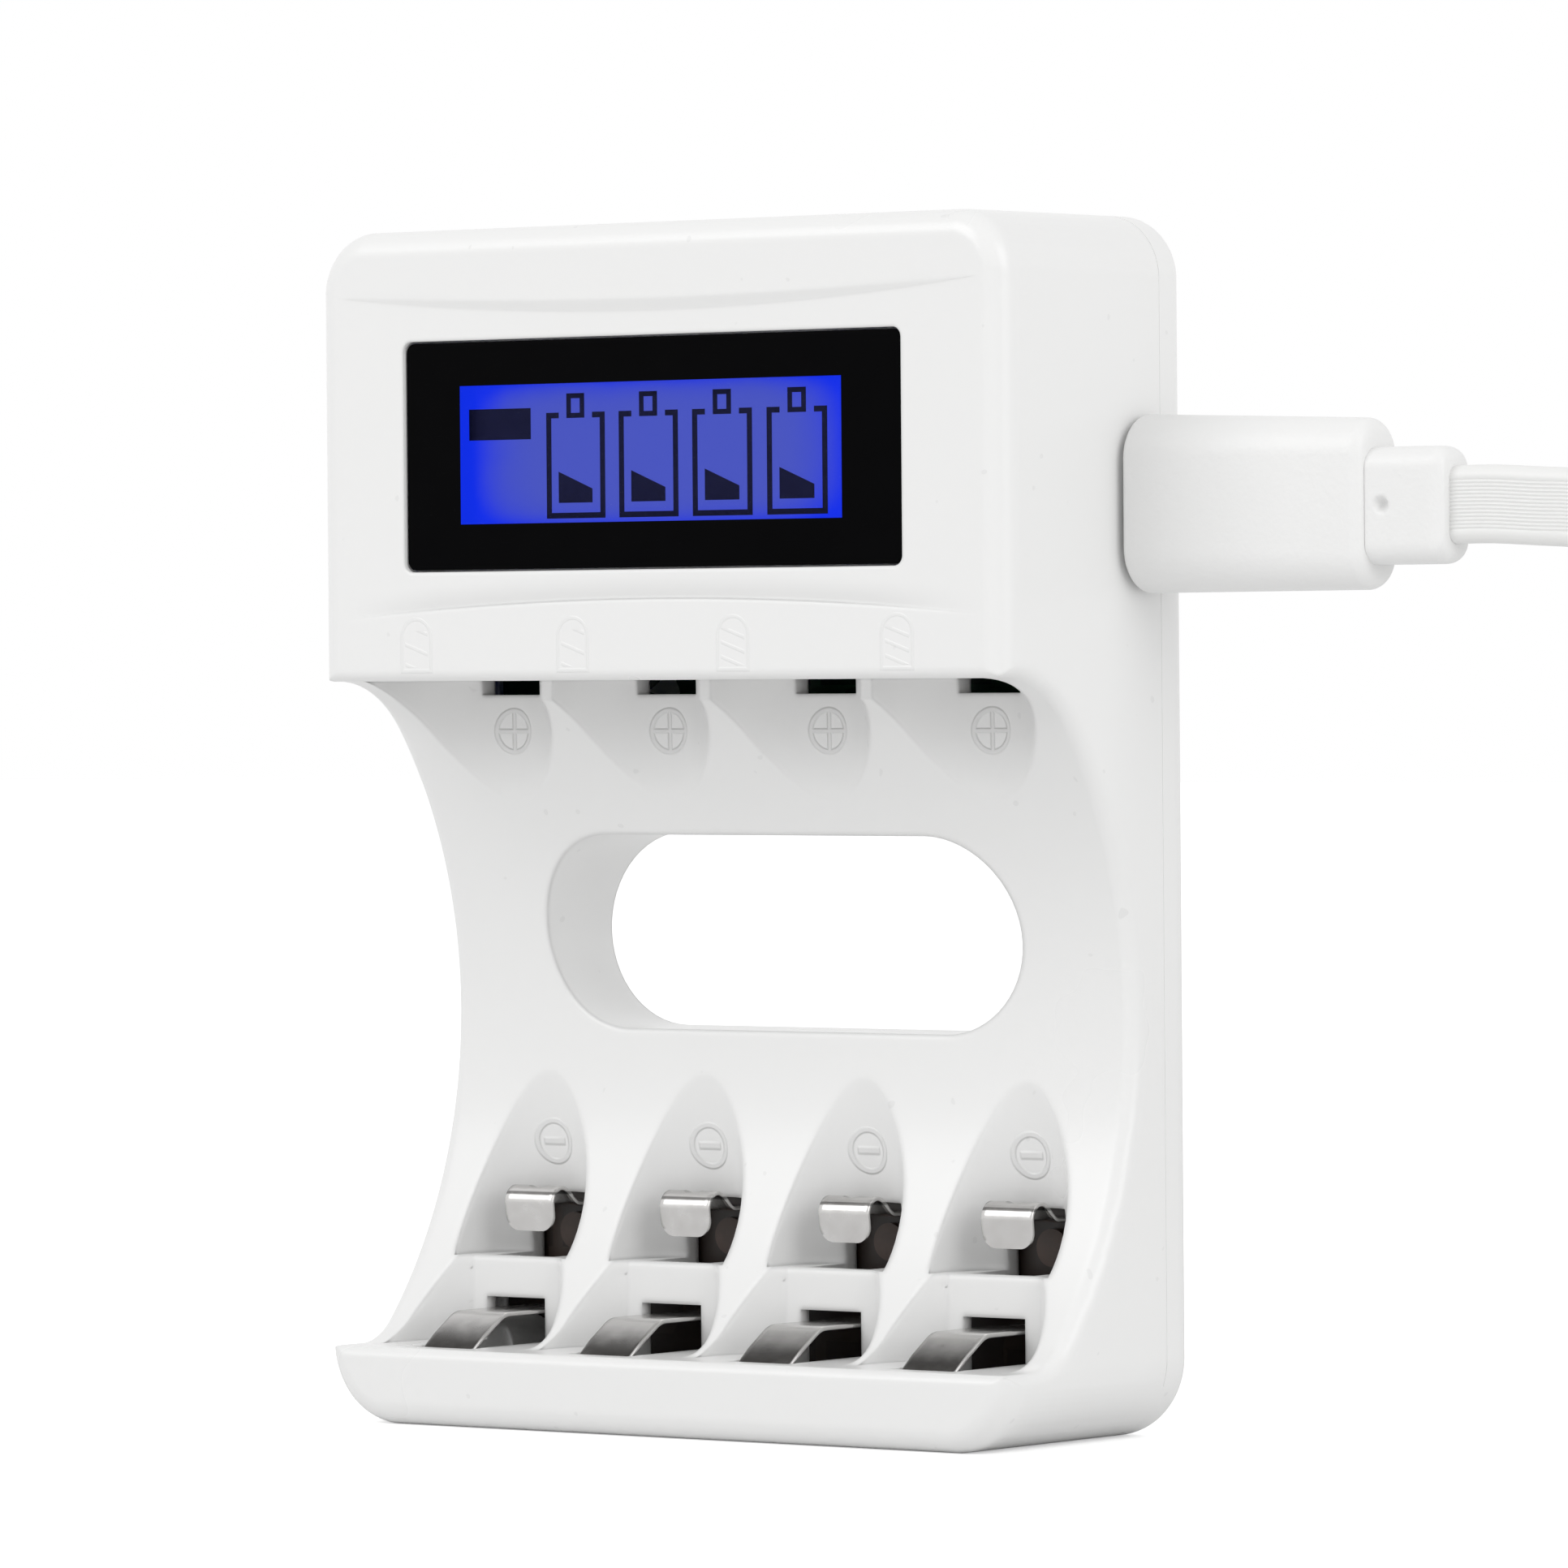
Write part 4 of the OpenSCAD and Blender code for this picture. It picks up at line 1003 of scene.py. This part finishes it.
def make_segments():
    """Four cell outlines with a bar in each, and the small box at the left."""
    low, top, line_x, line_z, width = 72.42, 80.8, 0.5, 0.45, 5.92
    cap_low, cap_high, cap_in, cap_out = 80.35, 82.3, 0.45, 0.9
    shapes = [box(-19.64, 78.75, -13.34, 81.22)]
    for x in CELLS:
        right = x + width
        shapes.append([(x + 1.27, top), (x, top), (x, low), (x + line_x, low), (x + line_x, top - line_z),
                       (x + 1.27, top - line_z)])
        shapes.append([(right - 1.27, top - line_z), (right - line_x, top - line_z), (right - line_x, low),
                       (right, low), (right, top), (right - 1.27, top)])
        shapes.append(box(x + line_x, low, right - line_x, low + line_z))
        mid = x + width / 2
        shapes.append(box(mid - cap_out, cap_low, mid - cap_in, cap_high))
        shapes.append(box(mid + cap_in, cap_low, mid + cap_out, cap_high))
        shapes.append(box(mid - cap_in, cap_low, mid + cap_in, cap_low + 0.4))
        shapes.append(box(mid - cap_in, cap_high - 0.4, mid + cap_in, cap_high))
        shapes.append([(x + 1.22, 73.65), (x + 4.62, 73.65), (x + 4.62, 74.75), (x + 1.22, 76.12)])
    points, faces = [], []
    for shape in shapes:
        made, skin = prism(shape, GLASS_Y - 0.03, GLASS_Y - 0.01)
        faces += [tuple(i + len(points) for i in face) for face in skin]
        points += made
    add_piece("display_segments", points, faces, "segment_dark", smooth=False)


make_camera()
make_housing()
make_contacts()
make_segments()
cable, cable_path, cable_length = make_cable()
make_side_plug()
make_relief()
far_plug = make_far_plug()
far_plug + [make_tie()]


# Floor, lights and surroundings

def make_floor():
    size, z = 3.0, 0.0
    mesh = bpy.data.meshes.new("floor")
    corners = [(-size, -size, z), (size, -size, z), (size, size, z), (-size, size, z)]
    mesh.from_pydata(corners, [], [(0, 1, 2, 3)])
    floor = bpy.data.objects.new("floor", mesh)
    bpy.context.scene.collection.objects.link(floor)
    f = Finish("floor_white", Roughness=0.9, Base_Color=(0.86, 0.86, 0.86, 1.0),
               Emission_Color=(1.0, 1.0, 1.0, 1.0))
    seen = f.node("LightPath", output="Is Camera Ray")
    f.tree.links.new((seen * 0.45).socket, f.shader.inputs["Emission Strength"])
    mesh.materials.append(f.material)


def make_world():
    world = bpy.data.worlds.new("studio")
    world.use_nodes = True
    tree = world.node_tree
    background = tree.nodes["Background"]
    background.inputs["Color"].default_value = (1, 1, 1, 1)
    rays = tree.nodes.new("ShaderNodeLightPath")
    level = tree.nodes.new("ShaderNodeMapRange")
    level.inputs["To Min"].default_value = 0.75
    level.inputs["To Max"].default_value = 1.0
    through = rays.outputs["Is Camera Ray"]
    for kind in ("Is Glossy Ray", "Is Transmission Ray"):
        seen = tree.nodes.new("ShaderNodeMath")
        seen.operation = "MAXIMUM"
        tree.links.new(through, seen.inputs[0])
        tree.links.new(rays.outputs[kind], seen.inputs[1])
        through = seen.outputs[0]
    tree.links.new(through, level.inputs["Value"])
    tree.links.new(level.outputs[0], background.inputs["Strength"])
    bpy.context.scene.world = world


def make_lamp(name, place, target, size, power):
    data = bpy.data.lights.new(name, "AREA")
    data.shape = "RECTANGLE"
    data.size, data.size_y = size
    data.energy = power
    lamp = bpy.data.objects.new(name, data)
    bpy.context.scene.collection.objects.link(lamp)
    lamp.location = place
    lamp.rotation_euler = (Vector(target) - Vector(place)).to_track_quat("-Z", "Y").to_euler()


make_floor()
make_world()
make_lamp("key", (-0.5, -0.9, 0.75), (0, 0, 0.05), (0.7, 0.7), 4.4)
make_lamp("side", (1.0, -0.2, 0.5), (0, 0, 0.05), (0.6, 0.8), 3.4)

scene = bpy.context.scene
scene.view_settings.view_transform = "Standard"
